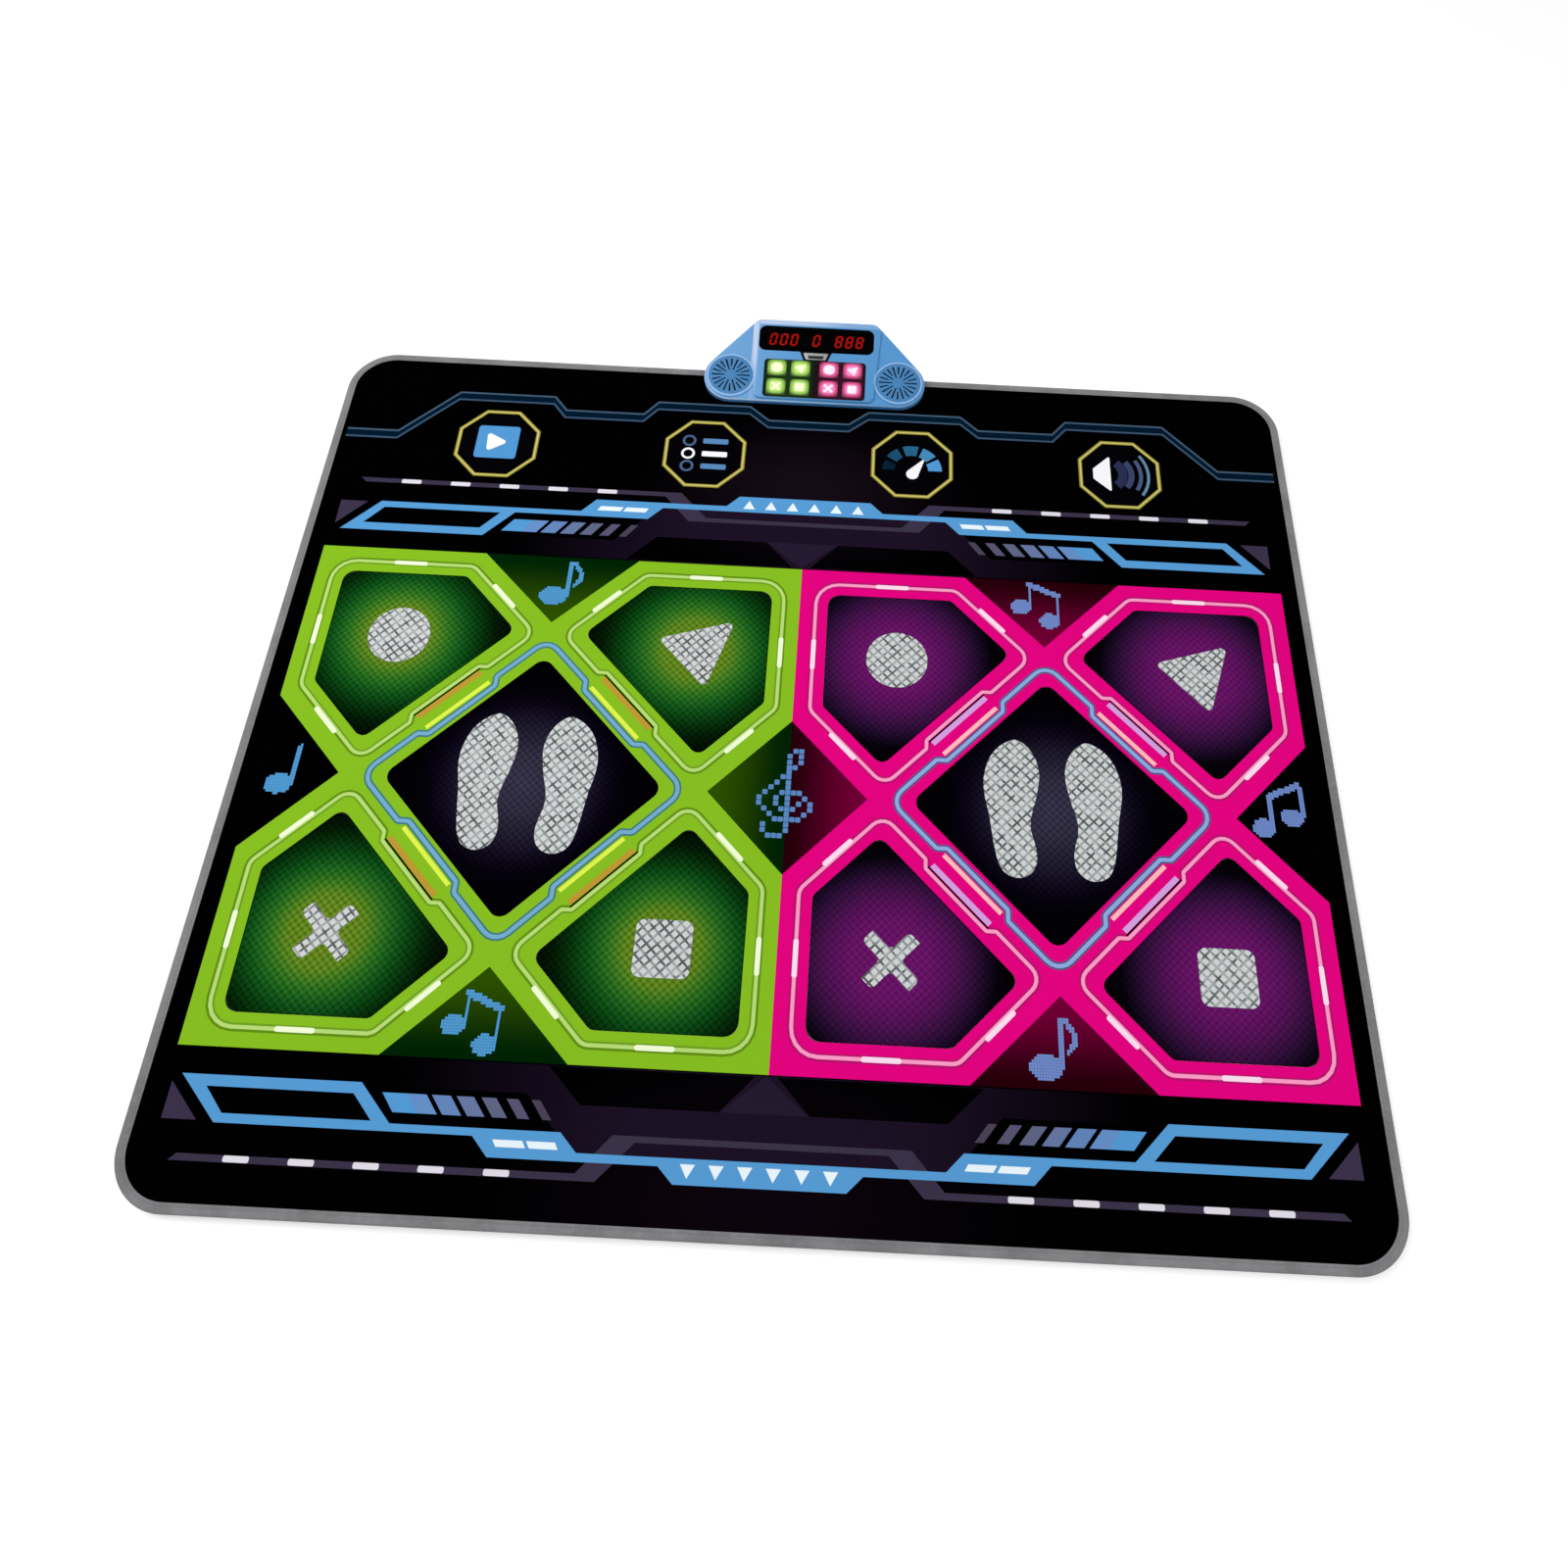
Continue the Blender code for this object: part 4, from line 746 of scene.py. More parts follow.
# the clef's rows of squares: height, then where the squares stand
clefRows = [(47.9, (6.1, 11.9)), (42.1, (0.4, 11.9)), (35.7, (0.4, 11.9)), (30, (0.4, 6.1)),
            (25, (0.4,)), (19.7, (-5.3, 0.4)), (13.6, (-11, 0.4)), (8.3, (-16.7, 0.4)),
            (2.9, (-22.4, -5.3, 0.4, 6.1, 11.9)), (-2.9, (-27.9, -11, 0.4, 17.6)),
            (-8.6, (-27.9, -11, 0.4, 11.9, 23.3)), (-14.3, (-22.4, -5.3, 0.4, 6.1, 23.3)),
            (-19.7, (-16.7, 0.4, 17.6)), (-25, (-11, -5.3, 0.4, 6.1, 11.9)),
            (-30.7, (-22.4, 0.4)), (-36.4, (-22.4, 0.4)), (-42.1, (-16.7, -11, -5.3))]


def insideShape(shape, x, y):
    if shape[0] == "oval":
        _, cx, cy, rx, ry = shape
        return ((x - cx) / rx) ** 2 + ((y - cy) / ry) ** 2 <= 1
    _, x0, y0, x1, y1, width = shape
    along = Vector((x1 - x0, y1 - y0))
    share = min(max(Vector((x - x0, y - y0)).dot(along) / along.length_squared, 0), 1)
    near = Vector((x0, y0)) + along * share
    return (near - Vector((x, y))).length <= width / 2


def dotSquares(shapes, x, y):
    cell = noteArt["cell"]
    half = cell / 2 - noteArt["gap"] / 2
    reach = noteArt["reach"]
    squares = []
    for row in range(-reach, reach + 1):
        for column in range(-reach, reach + 1):
            cx, cy = column * cell, row * cell
            if any(insideShape(shape, cx, cy) for shape in shapes):
                squares.append(boxOutline(x + cx - half, y + cy - half, x + cx + half,
                                          y + cy + half))
    return squares


def buildNotes():
    made = {shade: clothMaterial(f"{shade} note print", noteArt[shade], 0.16)
            for shade in ("blue", "violet", "dim")}
    places = [("note_green_back", eighthNote, -259.5, 230.2),
              ("note_green_side", quarterNote, -502.0, 0.0),
              ("note_green_front", fallingPair, -267.6, -232.4),
              ("note_pink_back", fallingPair, 260.7, 233.6),
              ("note_pink_side", risingPair, 490.0, 5.8),
              ("note_pink_front", eighthNote, 256.8, -230.5)]
    for name, shapes, x, y in places:
        flatPrint(name, dotSquares(shapes, x, y), 1,
                  made["violet" if "pink" in name else "blue"])
    squares, half = [], noteArt["clefHalf"]
    for y, xs in clefRows:
        squares += [rounded(boxOutline(x - half, y - half, x + half, y + half),
                            noteArt["clefRadius"], 2) for x in xs]
    flatPrint("note_clef", squares, 1, made["dim"])
    print("notes printed")


# the bands behind and in front of the fields; a tick is its start, width and colour
bandArt = {
    "shift": -1.7, "line": rgb(59, 51, 72), "blue": rgb(87, 156, 213),
    "white": rgb(236, 248, 255), "dash": rgb(226, 222, 231), "glow": rgb(29, 18, 37),
    "vee": rgb(37, 26, 47), "end": rgb(60, 51, 75),
    "ticks": [(-336.6, 22.2, rgb(84, 154, 212)), (-314.4, 16.8, rgb(101, 143, 199)),
              (-292.9, 16.6, rgb(99, 133, 186)), (-271.1, 15.2, rgb(102, 119, 162)),
              (-249.1, 13.0, rgb(95, 102, 132)), (-227.0, 10.4, rgb(88, 84, 113)),
              (-205.1, 7.8, rgb(74, 67, 86))],
}


def glowBand(tree):
    _, x, _, _ = objectPlace(tree)
    across = mathNode(tree, "ABSOLUTE", x)
    near = mixColours(tree, mapRange(tree, across, 0.10, 0.25), bandArt["glow"], rgb(15, 8, 20))
    return mixColours(tree, mapRange(tree, across, 0.22, 0.33), near, rgb(1, 1, 2))


def bothSides(outline, flip=1):
    # the same shape left and right, at the back (flip 1) or at the front (flip -1)
    return [mirrored(outline, side, flip, bandArt["shift"]) for side in (1, -1)]


def buildBands():
    glow = clothMaterial("band glow print", glowBand)
    vee = clothMaterial("band vee print", bandArt["vee"])
    dark = clothMaterial("band line print", bandArt["line"])
    blue = clothMaterial("band blue print", bandArt["blue"], 0.06)
    white = clothMaterial("band white print", bandArt["white"], 0.04)
    dashMade = clothMaterial("band dash print", bandArt["dash"], 0.04)
    end = clothMaterial("band end print", bandArt["end"])
    ticks = [clothMaterial(f"tick print {k + 1}", tick[2]) for k, tick in
             enumerate(bandArt["ticks"])]
    shift = bandArt["shift"]
    for side, flip in (("back", 1), ("front", -1)):
        area = [(-330, 265.5), (330, 265.5), (330, 290), (210, 290), (165, 335.5), (-165, 335.5),
                (-210, 290), (-330, 290)]
        cuts = bothSides([(-194, 266.2), (-10, 266.2), (-40, 297.3), (-162, 297.3)], flip)
        flatPrint("band_glow_" + side, [mirrored(area, 1, flip, shift)] + cuts, 0, glow)
        flatPrint("band_vee_" + side, [mirrored([(-39, 297.3), (0, 265.6), (39, 297.3)], 1, flip,
                                                shift)], 1, vee)
        half = [(-507, 357.9), (-501, 352.1), (-158.9, 352.1), (-130.1, 320.2)]
        back = [(141.3, 357.9), (110.3, 325.4)]
        line = (half + [(-x, y) for x, y in half[::-1]] + back + [(-x, y) for x, y in back[::-1]])
        flatPrint("dark_line_" + side, [mirrored(line, 1, flip, shift)], 1, dark)
        dashes = []
        for x in (-451, -395, -339.3, -283.6, -227.4, 222.5, 278.6, 334.4, 390.1, 446):
            dashes.append(mirrored(rounded(boxOutline(x - 11.2, 352.2, x + 11.2, 357.5), 1.6, 4),
                                   1, flip))
        flatPrint("line_dashes_" + side, dashes, 2, dashMade)
        half = [(-515.4, 287.8), (-356.4, 287.8), (-325, 320.2), (-175.7, 320.2), (-160, 336)]
        back = [(476.8, 326.6), (251.7, 326.6), (236.2, 343), (88.7, 343), (74.6, 356.8)]
        frame = (half + [(-x, y) for x, y in half[::-1]] + back
                 + [(-x, y) for x, y in back[::-1]])
        holes = bothSides([(-491.4, 297.3), (-361.5, 297.3), (-341.5, 318.8), (-471.8, 318.8)],
                          flip)
        flatPrint("blue_frame_" + side, [mirrored(frame, 1, flip, shift)] + holes, 2, blue)
        whites = []
        for k in range(6):
            x = (k - 2.5) * 24.7 - 2.9
            whites.append(mirrored([(x - 6.6, 340.4), (x + 6.6, 340.4), (x, 351.8)], 1, flip))
        for start, stop in ((-233.6, -207.6), (-204.4, -179.3)):
            whites += bothSides([(start, 328.6), (stop, 328.6), (stop + 3.3, 334.4),
                                 (start + 3.5, 334.4)], flip)
        flatPrint("band_white_" + side, whites, 3, white)
        for k, (start, width, _) in enumerate(bandArt["ticks"]):
            shape = [(start, 295.2), (start + width, 295.2), (start + width + 12.2, 311),
                     (start + 12.2, 311)]
            flatPrint(f"tick_{k + 1}_{side}", bothSides(shape, flip), 1, ticks[k])
        flatPrint("band_end_" + side, bothSides([(-522.7, 325.3), (-522.3, 294.5),
                                                 (-492.3, 325.3)], flip), 1, end)
    print("bands printed")


# the double line and the function pads at the back
backArt = {
    "steel": rgb(66, 90, 112), "navy": rgb(3, 25, 44), "yellow": rgb(152, 142, 56),
    "paleYellow": rgb(214, 206, 124), "steelLower": rgb(60, 84, 110),
    "pads": {"play": -362.4, "song": -120.8, "speed": 120.8, "volume": 362.4},
    "shift": -1.4, "padY": 414.9, "ring": (47.5, 43.1), "ringCore": (45.9, 44.3),
    "blue": rgb(82, 152, 210), "white": rgb(250, 250, 252), "steelBlue": rgb(88, 136, 186),
    "ringBlue": rgb(74, 98, 140),
    # the speed sign's fan: start, end, inner and outer radius, colour
    "fan": [(180, 157, 20, 34, rgb(9, 34, 52)), (147, 120, 21, 35, rgb(26, 78, 112)),
            (109, 77, 21, 35, rgb(36, 98, 134)), (68, 38, 21, 35, rgb(70, 136, 186)),
            (30, 1, 19, 35, rgb(80, 152, 212))],
    # the volume sign's waves: radius, place, width, height, colour
    "waves": [(18, 3, 11, 5.5, rgb(42, 48, 80)), (24, 11, 7, 7.5, rgb(58, 68, 104)),
              (34, 20.8, 4.5, 22, rgb(70, 90, 126)), (42, 29, 3.4, 29, rgb(98, 136, 166))],
}


def octagon(x, y, apothem):
    reach = apothem / math.cos(math.pi / 8)
    return [(x + reach * math.cos(math.pi / 8 + k * math.pi / 4),
             y + reach * math.sin(math.pi / 8 + k * math.pi / 4)) for k in range(8)]


def arcBand(x, y, inner, outer, start, end, steps=8):
    turns = [math.radians(start + (end - start) * k / steps) for k in range(steps + 1)]
    outline = [(x + outer * math.cos(t), y + outer * math.sin(t)) for t in turns]
    return outline + [(x + inner * math.cos(t), y + inner * math.sin(t)) for t in turns[::-1]]


def buildBackLine():
    left = [(-541, 426), (-481.5, 426), (-419.5, 487), (-307, 487), (-291, 468), (-199, 468),
            (-183, 487), (-74, 487), (-51, 468)]
    right = [(44, 468), (67, 487), (176, 487), (197, 468), (285, 468), (301, 487), (416, 487),
             (476, 426), (541, 426)]
    path = left + right
    flatPrint("back_line_middle", [lineStrip([(x, y - 5.2) for x, y in path], 10.0)], 0,
              clothMaterial("navy line print", backArt["navy"]))
    flatPrint("back_line", [lineStrip(path, 2.3)], 1,
              clothMaterial("back line print", backArt["steel"], 0.3))
    flatPrint("back_line_lower", [lineStrip([(x, y - 10.4) for x, y in path], 2.3)], 1,
              clothMaterial("back lower line print", backArt["steelLower"], 0.3))


def buildFunctionPads():
    y = backArt["padY"]
    yellow = clothMaterial("yellow ring print", backArt["yellow"])
    pale = clothMaterial("pale yellow ring print", backArt["paleYellow"])
    blue = clothMaterial("icon blue print", backArt["blue"])
    white = clothMaterial("icon white print", backArt["white"], 0.04)
    steel = clothMaterial("icon steel print", backArt["steelBlue"])
    ringBlue = clothMaterial("icon ring print", backArt["ringBlue"])
    rings, cores = [], []
    for x in backArt["pads"].values():
        middle = x + backArt["shift"]
        rings += [octagon(middle, y, apothem) for apothem in backArt["ring"]]
        cores += [octagon(middle, y, apothem) for apothem in backArt["ringCore"]]
    flatPrint("octagon_rings", rings, 1, yellow)
    flatPrint("octagon_ring_cores", cores, 2, pale)

    def icon(name, outlines, layer, made):
        flatPrint("icon_" + name, outlines, layer, made, body="function_" + name.split("_")[0],
                  rise=functionPadRise)

    x = backArt["pads"]["play"]
    icon("play_square", [rounded(boxOutline(x - 26, y - 21.5, x + 22.5, y + 24.5), 4, 5)], 0, blue)
    icon("play_mark", [rounded([(x - 14.6, y + 15.5), (x - 12.4, y - 12.5), (x + 11, y + 2)], 3,
                               5)], 1, white)
    x = backArt["pads"]["song"] - 0.8
    rows = ((17.8, steel, ringBlue, "top"), (-0.6, white, white, "middle"),
            (-18.4, steel, ringBlue, "bottom"))
    for dy, made, ringMade, word in rows:
        ring = [circleOutline(x - 19.8, y + dy, 8.0), circleOutline(x - 19.8, y + dy, 5.2)]
        bar = rounded(boxOutline(x - 3.8, y + dy - 3.4, x + 25.6, y + dy + 3.9), 1.4, 3)
        icon("song_ring_" + word, ring, 0, ringMade)
        icon("song_bar_" + word, [bar], 0, made)
    x = backArt["pads"]["speed"]
    for k, (start, end, inner, outer, colour) in enumerate(backArt["fan"]):
        icon(f"speed_fan_{k + 1}", [arcBand(x - 1.5, y - 9.4, inner, outer, end, start)], 0,
             clothMaterial(f"fan print {k + 1}", colour))
    tail = circleOutline(x - 0.8, y - 14.5, 7.2, steps=28)
    needle = [(x - 6.9, y - 10.6), (x + 5.0, y - 18.8), (x + 14.2, y + 9.5)]
    icon("speed_tail", [tail], 1, white)
    icon("speed_needle", [rounded(needle, 1.2, 3)], 2, white)
    x = backArt["pads"]["volume"]
    horn = [(-32.2, 6.5), (-32.2, -7.5), (-14.2, -23.2), (-11.9, -24.4), (-11.9, 24.6),
            (-14.2, 23.4)]
    icon("volume_horn", [rounded([(x + px, y + py) for px, py in horn], 1.2, 3)], 0, white)
    for k, (radius, place, width, height, colour) in enumerate(backArt["waves"]):
        spread = math.degrees(math.asin(min(0.95, max(height, 20 if k < 2 else 0) / (radius + 8))))
        icon(f"volume_wave_{k + 1}", [arcBand(x + place - radius - 3, y, radius + 8 - width,
                                              radius + 8, -spread, spread)], 0,
             clothMaterial(f"wave print {k + 1}", colour))
    print("function pads printed")


buildFields()
buildLines()
buildPads()
buildNotes()
buildBands()
buildBackLine()
buildFunctionPads()


# the mat's own cloth: cover, pads, edge tape and underside, in millimetres
clothSizes = {
    "coverThickness": 0.8, "coverInset": 8.8, "lip": 0.3, "matCorner": 53.0,
    "padLow": 4.2, "padEase": 2.0, "padClear": 0.3, "padEdge": 0.55,
    "padCrown": padRise / mm, "padCrownReach": 34.0, "padFill": 0.3,
    "functionCrown": functionPadRise / mm, "functionCrownReach": 6.0, "functionPadAcross": 86.0,
    "functionPadRadius": 3.0, "underInset": 9.0, "underThickness": 0.8, "underLip": 0.2,
    "tapeInset": 9.6, "tapeProud": 0.35, "tapeFold": 2.4, "stitchInset": 6.9,
    "stitchPitch": 4.2, "stitchLength": 2.7, "stitchWidth": 0.42,
}


def placeAt(outline, z):
    return [(x * mm, (y + fieldY) * mm, z * mm) for x, y in outline]


def closedMesh(name, points, faces, smoothAngle):
    mesh = bpy.data.meshes.new(name)
    mesh.from_pydata(points, [], faces)
    piece = bpy.data.objects.new(name, mesh)
    bpy.context.scene.collection.objects.link(piece)
    useOnly(piece)
    bpy.ops.object.mode_set(mode="EDIT")
    bpy.ops.mesh.select_all(action="SELECT")
    bpy.ops.mesh.normals_make_consistent(inside=False)
    bpy.ops.object.mode_set(mode="OBJECT")
    bpy.ops.object.shade_smooth_by_angle(angle=math.radians(smoothAngle))
    return piece


def loftRings(name, rings):
    # a closed form skinned over rings of equal count, with both ends filled
    points = [point for ring in rings for point in ring]
    count = len(rings[0])
    faces = [tuple(range(count))[::-1], tuple(range(len(points) - count, len(points)))]
    for k in range(len(rings) - 1):
        for i in range(count):
            j = (i + 1) % count
            faces.append((k * count + i, k * count + j, (k + 1) * count + j, (k + 1) * count + i))
    return closedMesh(name, points, faces, 35)


def makePlate(name, outlines, low, high, rounding, steps=2):
    # a drawn plate with softly rounded edges: outlines in millimetres, heights in metres
    drawing = drawOutlines(name, outlines)
    drawing.extrude = (high - low) / 2 - rounding
    drawing.bevel_depth = rounding
    drawing.bevel_resolution = steps
    drawing.offset = -rounding
    piece = meshFromDrawing(name, drawing, (low + high) / 2)
    bpy.ops.object.shade_smooth_by_angle(angle=math.radians(35))
    return piece


def finishPiece(piece, made, body="root", replaced=()):
    setMaterial(piece, made)
    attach(piece, body)
    if replaced:
        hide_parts(*replaced)
    return piece


def crownedPad(name, corners, radii, crown, reach):
    # foam under cloth: rolled edges, then a low crown that is level in the middle
    low, top = clothSizes["padLow"], coverTop / mm
    rings = [placeAt(rounded(corners, radii), low)]
    edge = clothSizes["padEdge"]
    profile = [(0.0, -edge), (0.12, -edge * 0.45), (0.45, -edge * 0.1), (1.0, 0.02)]
    profile += [(1.0 + (reach - 1.0) * t, crown * t * t * (3 - 2 * t))
                for t in (0.12, 0.25, 0.4, 0.55, 0.7, 0.85, 1.0)]
    for inset, rise in profile:
        rings.append(placeAt(rounded(grown(corners, -inset), [max(r - inset, 0.6) for r in radii]),
                             top + rise))
    return loftRings(name, rings)


def matOutline(inset, cornerSteps=14, sideStep=None):
    halfX, halfY = cadHalf
    r = clothSizes["matCorner"] - inset
    outline = rounded(boxOutline(-halfX + inset, -halfY + inset, halfX - inset, halfY - inset), r,
                      cornerSteps)
    if not sideStep:
        return outline
    dense = []
    for i, point in enumerate(outline):
        following = outline[(i + 1) % len(outline)]
        length = math.dist(point, following)
        parts = max(1, round(length / sideStep))
        dense += [(point[0] + (following[0] - point[0]) * k / parts,
                   point[1] + (following[1] - point[1]) * k / parts) for k in range(parts)]
    return dense


cadHalf = (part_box("edge_binding")[1].x / mm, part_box("edge_binding")[1].y / mm)


def coverColour(tree):
    # black, with a faint violet glow in the middle of the back and front bands
    _, x, y, _ = objectPlace(tree)
    squaresX = mathNode(tree, "MULTIPLY", x, x)
    result = rgb(1, 1, 2)
    for centre, reach, colour in ((0.300, 0.20, rgb(20, 11, 21)), (-0.445, 0.24, rgb(13, 5, 13))):
        offset = mathNode(tree, "MULTIPLY", mathNode(tree, "SUBTRACT", y, centre), 1.7)
        squares = mathNode(tree, "ADD", squaresX, mathNode(tree, "MULTIPLY", offset, offset))
        share = mapRange(tree, mathNode(tree, "SQRT", squares), 0.02, reach)
        result = mixColours(tree, share, colour, result)
    return result


def buildCover():
    outlines = [matOutline(clothSizes["coverInset"])]
    for x in fieldPlaces.values():
        for sx, sy in quarters:
            outlines.append([(px, py + fieldY) for px, py in padWindow(sx, sy, x)])
    for x in backArt["pads"].values():
        octagonHole = octagon(x, backArt["padY"] + fieldY, clothSizes["functionPadAcross"] / 2
                              + fieldArt["padGap"])
        outlines.append(rounded(octagonHole, clothSizes["functionPadRadius"], 3))
    top = coverTop
    cover = makePlate("printed_cover", outlines, top - clothSizes["coverThickness"] * mm, top,
                      clothSizes["lip"] * mm)
    finishPiece(cover, clothMaterial("black cover print", coverColour),
                replaced=["top_cover"])


def buildSoftPads():
    # a little rounder than the windows, so that a pressed pad clears the foam's corners
    ease = clothSizes["padEase"]
    r = fieldArt["padRadius"] + ease
    radii = [r, fieldArt["padOuterRadius"] + ease, r, r, r]
    for colour, x in fieldPlaces.items():
        made = clothMaterial(colour + " pad print",
                             glowColour(x, padArt[colour], padArt["dotPitch"],
                                        contrast=padArt["dotContrast"][colour]))
        for sx, sy in quarters:
            symbol = quarterNames[(sx, sy)]
            corners = mirrored(grown(padCorners(), -clothSizes["padClear"]), sx, sy, x)
            padRadii = radii if sx * sy > 0 else radii[::-1]
            pad = crownedPad(f"soft_pad_{colour}_{symbol}", corners, padRadii,
                             clothSizes["padCrown"], clothSizes["padCrownReach"])
            finishPiece(pad, made, f"step_{colour}_{symbol}",
                        [f"step_pad_{colour}_{symbol}"])
    made = clothMaterial("function pad print", rgb(4, 3, 6))
    for purpose, x in backArt["pads"].items():
        corners = octagon(x, backArt["padY"], clothSizes["functionPadAcross"] / 2)
        pad = crownedPad(f"soft_pad_{purpose}", corners, [clothSizes["functionPadRadius"]] * 8,
                         clothSizes["functionCrown"], clothSizes["functionCrownReach"])
        finishPiece(pad, made, f"function_{purpose}",
                    [f"function_pad_{purpose}"])
    print("cover and pads made")


def tapeMaterial():
    # woven edge tape: fine ribs across the tape, a few random worn patches, and a painted highlight
    # that makes the fold and the side below it paler
    made, tree, shader = startMaterial("binding tape")
    place, x, y, z = objectPlace(tree)
    ribs = mathNode(tree, "SINE", mathNode(tree, "MULTIPLY", mathNode(tree, "ADD", x, y), 5200.0))
    cloud = noiseAt(tree, place, 26.0, 3.0)
    worn = noiseAt(tree, place, 160.0, 3.0, 0.7)
    base = mixColours(tree, mapRange(tree, cloud, 0.3, 0.7), rgb(116, 116, 118),
                      rgb(134, 134, 136))
    fold = mapRange(tree, z, 0.0064, 0.0088)
    base = mixColours(tree, mathNode(tree, "MULTIPLY", mapRange(tree, worn, 0.45, 0.75), 0.25),
                      base, rgb(158, 158, 160))
    # painted highlight: paler over the rounded fold and down the side, below the tape's top
    base = mixColours(tree, mathNode(tree, "MULTIPLY", mathNode(tree, "SUBTRACT", 1.0, fold), 0.35),
                      base, rgb(166, 166, 168))
    shade = mathNode(tree, "MULTIPLY_ADD", ribs, 0.07, 1.0)
    tree.links.new(scaleColour(tree, base, shade), shader.inputs["Base Color"])
    tree.links.new(mapRange(tree, cloud, 0.3, 0.7, 0.62, 0.82), shader.inputs["Roughness"])
    shader.inputs["Specular IOR Level"].default_value = 0.25
    addBump(tree, shader, ribs, 0.35, 0.0001)
    return made


def tapeSection(upper):
    # the folded tape's outline across the mat's edge: how far in, and how high
    top, fold, inner = coverTop / mm, clothSizes["tapeFold"], clothSizes["tapeInset"]
    seam = clothSizes["stitchInset"]
    section = [(inner, top - 0.3), (inner, upper - 0.25), (inner - 0.25, upper)]
    section += [(seam + 1.1, upper), (seam, upper - 0.22), (seam - 1.1, upper)]
    steps = 7
    for k in range(steps + 1):
        turn = math.pi / 2 * k / steps
        section.append((fold * (1 - math.sin(turn)), upper - fold * (1 - math.cos(turn))))
    section.append((0.0, upper / 2))
    for k in range(steps + 1):
        turn = math.pi / 2 * (1 - k / steps)
        section.append((fold * (1 - math.sin(turn)), fold * (1 - math.cos(turn))))
    section += [(inner, 0.0), (inner, 0.7), (1.2, 0.7), (1.2, top - 0.8), (9.0, top - 0.8),
                (9.0, top - 0.3)]
    return section


def buildStitches(path, upper):
    # each stitch is a low bar with tapered ends, and the bars follow each other along the tape
    sides = 6
    half, width = clothSizes["stitchLength"] / 2, clothSizes["stitchWidth"] / 2
    rings = [(-half, 0.35, -0.22), (-half * 0.8, 1.0, 0.0), (half * 0.8, 1.0, 0.0),
             (half, 0.35, -0.22)]  # place along the stitch, how thick, and how far sunk
    points, faces = [], []
    travel = 0.0
    following = 0.0
    for i, corner in enumerate(path):
        here, ahead = Vector(corner), Vector(path[(i + 1) % len(path)])
        gap = (ahead - here).length
        while following < travel + gap:
            share = (following - travel) / gap
            along = (ahead - here).normalized()
            inwards = Vector((-along.y, along.x))
            centre = here + along * gap * share + inwards * clothSizes["stitchInset"]
            base = len(points)
            for offset, swell, sink in rings:
                for turn in range(sides):
                    angle = math.pi / 3 * turn
                    side = math.cos(angle) * width * swell
                    rise = math.sin(angle) * width * swell + sink
                    spot = centre + along * offset + inwards * side
                    points.append((spot.x * mm, spot.y * mm, (upper - 0.1 + rise) * mm))
            for ring in range(len(rings) - 1):
                first = base + ring * sides
                for turn in range(sides):
                    other = (turn + 1) % sides
                    faces.append((first + turn, first + other, first + sides + other,
                                  first + sides + turn))
            last = base + (len(rings) - 1) * sides
            faces.append(tuple(base + turn for turn in range(sides))[::-1])
            faces.append(tuple(last + turn for turn in range(sides)))
            following += clothSizes["stitchPitch"]
        travel += gap
    stitches = closedMesh("tape_stitches", points, faces, 60)
    return finishPiece(stitches, clothMaterial("tape thread", rgb(122, 122, 126), 0.3, 0.7, 0.2))


def buildTape():
    upper = coverTop / mm + clothSizes["tapeProud"]
    section = tapeSection(upper)
    path = matOutline(0.0, 20, clothSizes["stitchPitch"] / 2)
    count = len(path)
    normals = []
    for i in range(count):
        along = Vector(path[(i + 1) % count]) - Vector(path[i - 1])
        normals.append(Vector((-along.y, along.x)).normalized())
    points, faces = [], []
    for k, (inset, z) in enumerate(section):
        for i in range(count):
            point = Vector(path[i]) + normals[i] * inset
            dip = 0.0
            if 2 <= k <= 6:
                # the thread pulls the tape down a little at every stitch
                dip = 0.07 * (1 if i % 2 else -1) * (1.4 if k == 4 else 0.7)
            points.append((point.x * mm, point.y * mm, (z + dip) * mm))
    size = len(section)
    for k in range(size):
        following = (k + 1) % size
        for i in range(count):
            j = (i + 1) % count
            faces.append((k * count + i, k * count + j, following * count + j,
                          following * count + i))
    tape = closedMesh("edge_tape", points, faces, 40)
    finishPiece(tape, tapeMaterial(), replaced=["edge_binding"])
    stitches = buildStitches(path, upper)
    print("edge tape sewn")


def nonSlipMaterial():
    # dark woven backing with small raised rubber dots
    made, tree, shader = startMaterial("non-slip backing")
    dots = useGroup(tree, meshGroup, pitch=0.009)
    mask = mapRange(tree, dots.outputs["Dots"], 0.74, 0.84)
    colour = mixColours(tree, mask, rgb(30, 30, 33), rgb(58, 58, 62))
    cloth = useGroup(tree, clothGroup, colour=colour, contrast=0.4, roughness=0.8)
    tree.links.new(cloth.outputs["Colour"], shader.inputs["Base Color"])
    tree.links.new(mapRange(tree, mask, 0.0, 1.0, 0.85, 0.45), shader.inputs["Roughness"])
    shader.inputs["Specular IOR Level"].default_value = 0.3
    addBump(tree, shader, mask, 0.8, 0.0004)
    return made


def buildUnderside():
    inset = clothSizes["underInset"]
    backing = makePlate("non_slip_backing", [matOutline(inset)], 0.0,
                        clothSizes["underThickness"] * mm, clothSizes["underLip"] * mm)
    finishPiece(backing, nonSlipMaterial(), replaced=["bottom_cover"])


buildCover()
buildSoftPads()
buildTape()
buildUnderside()

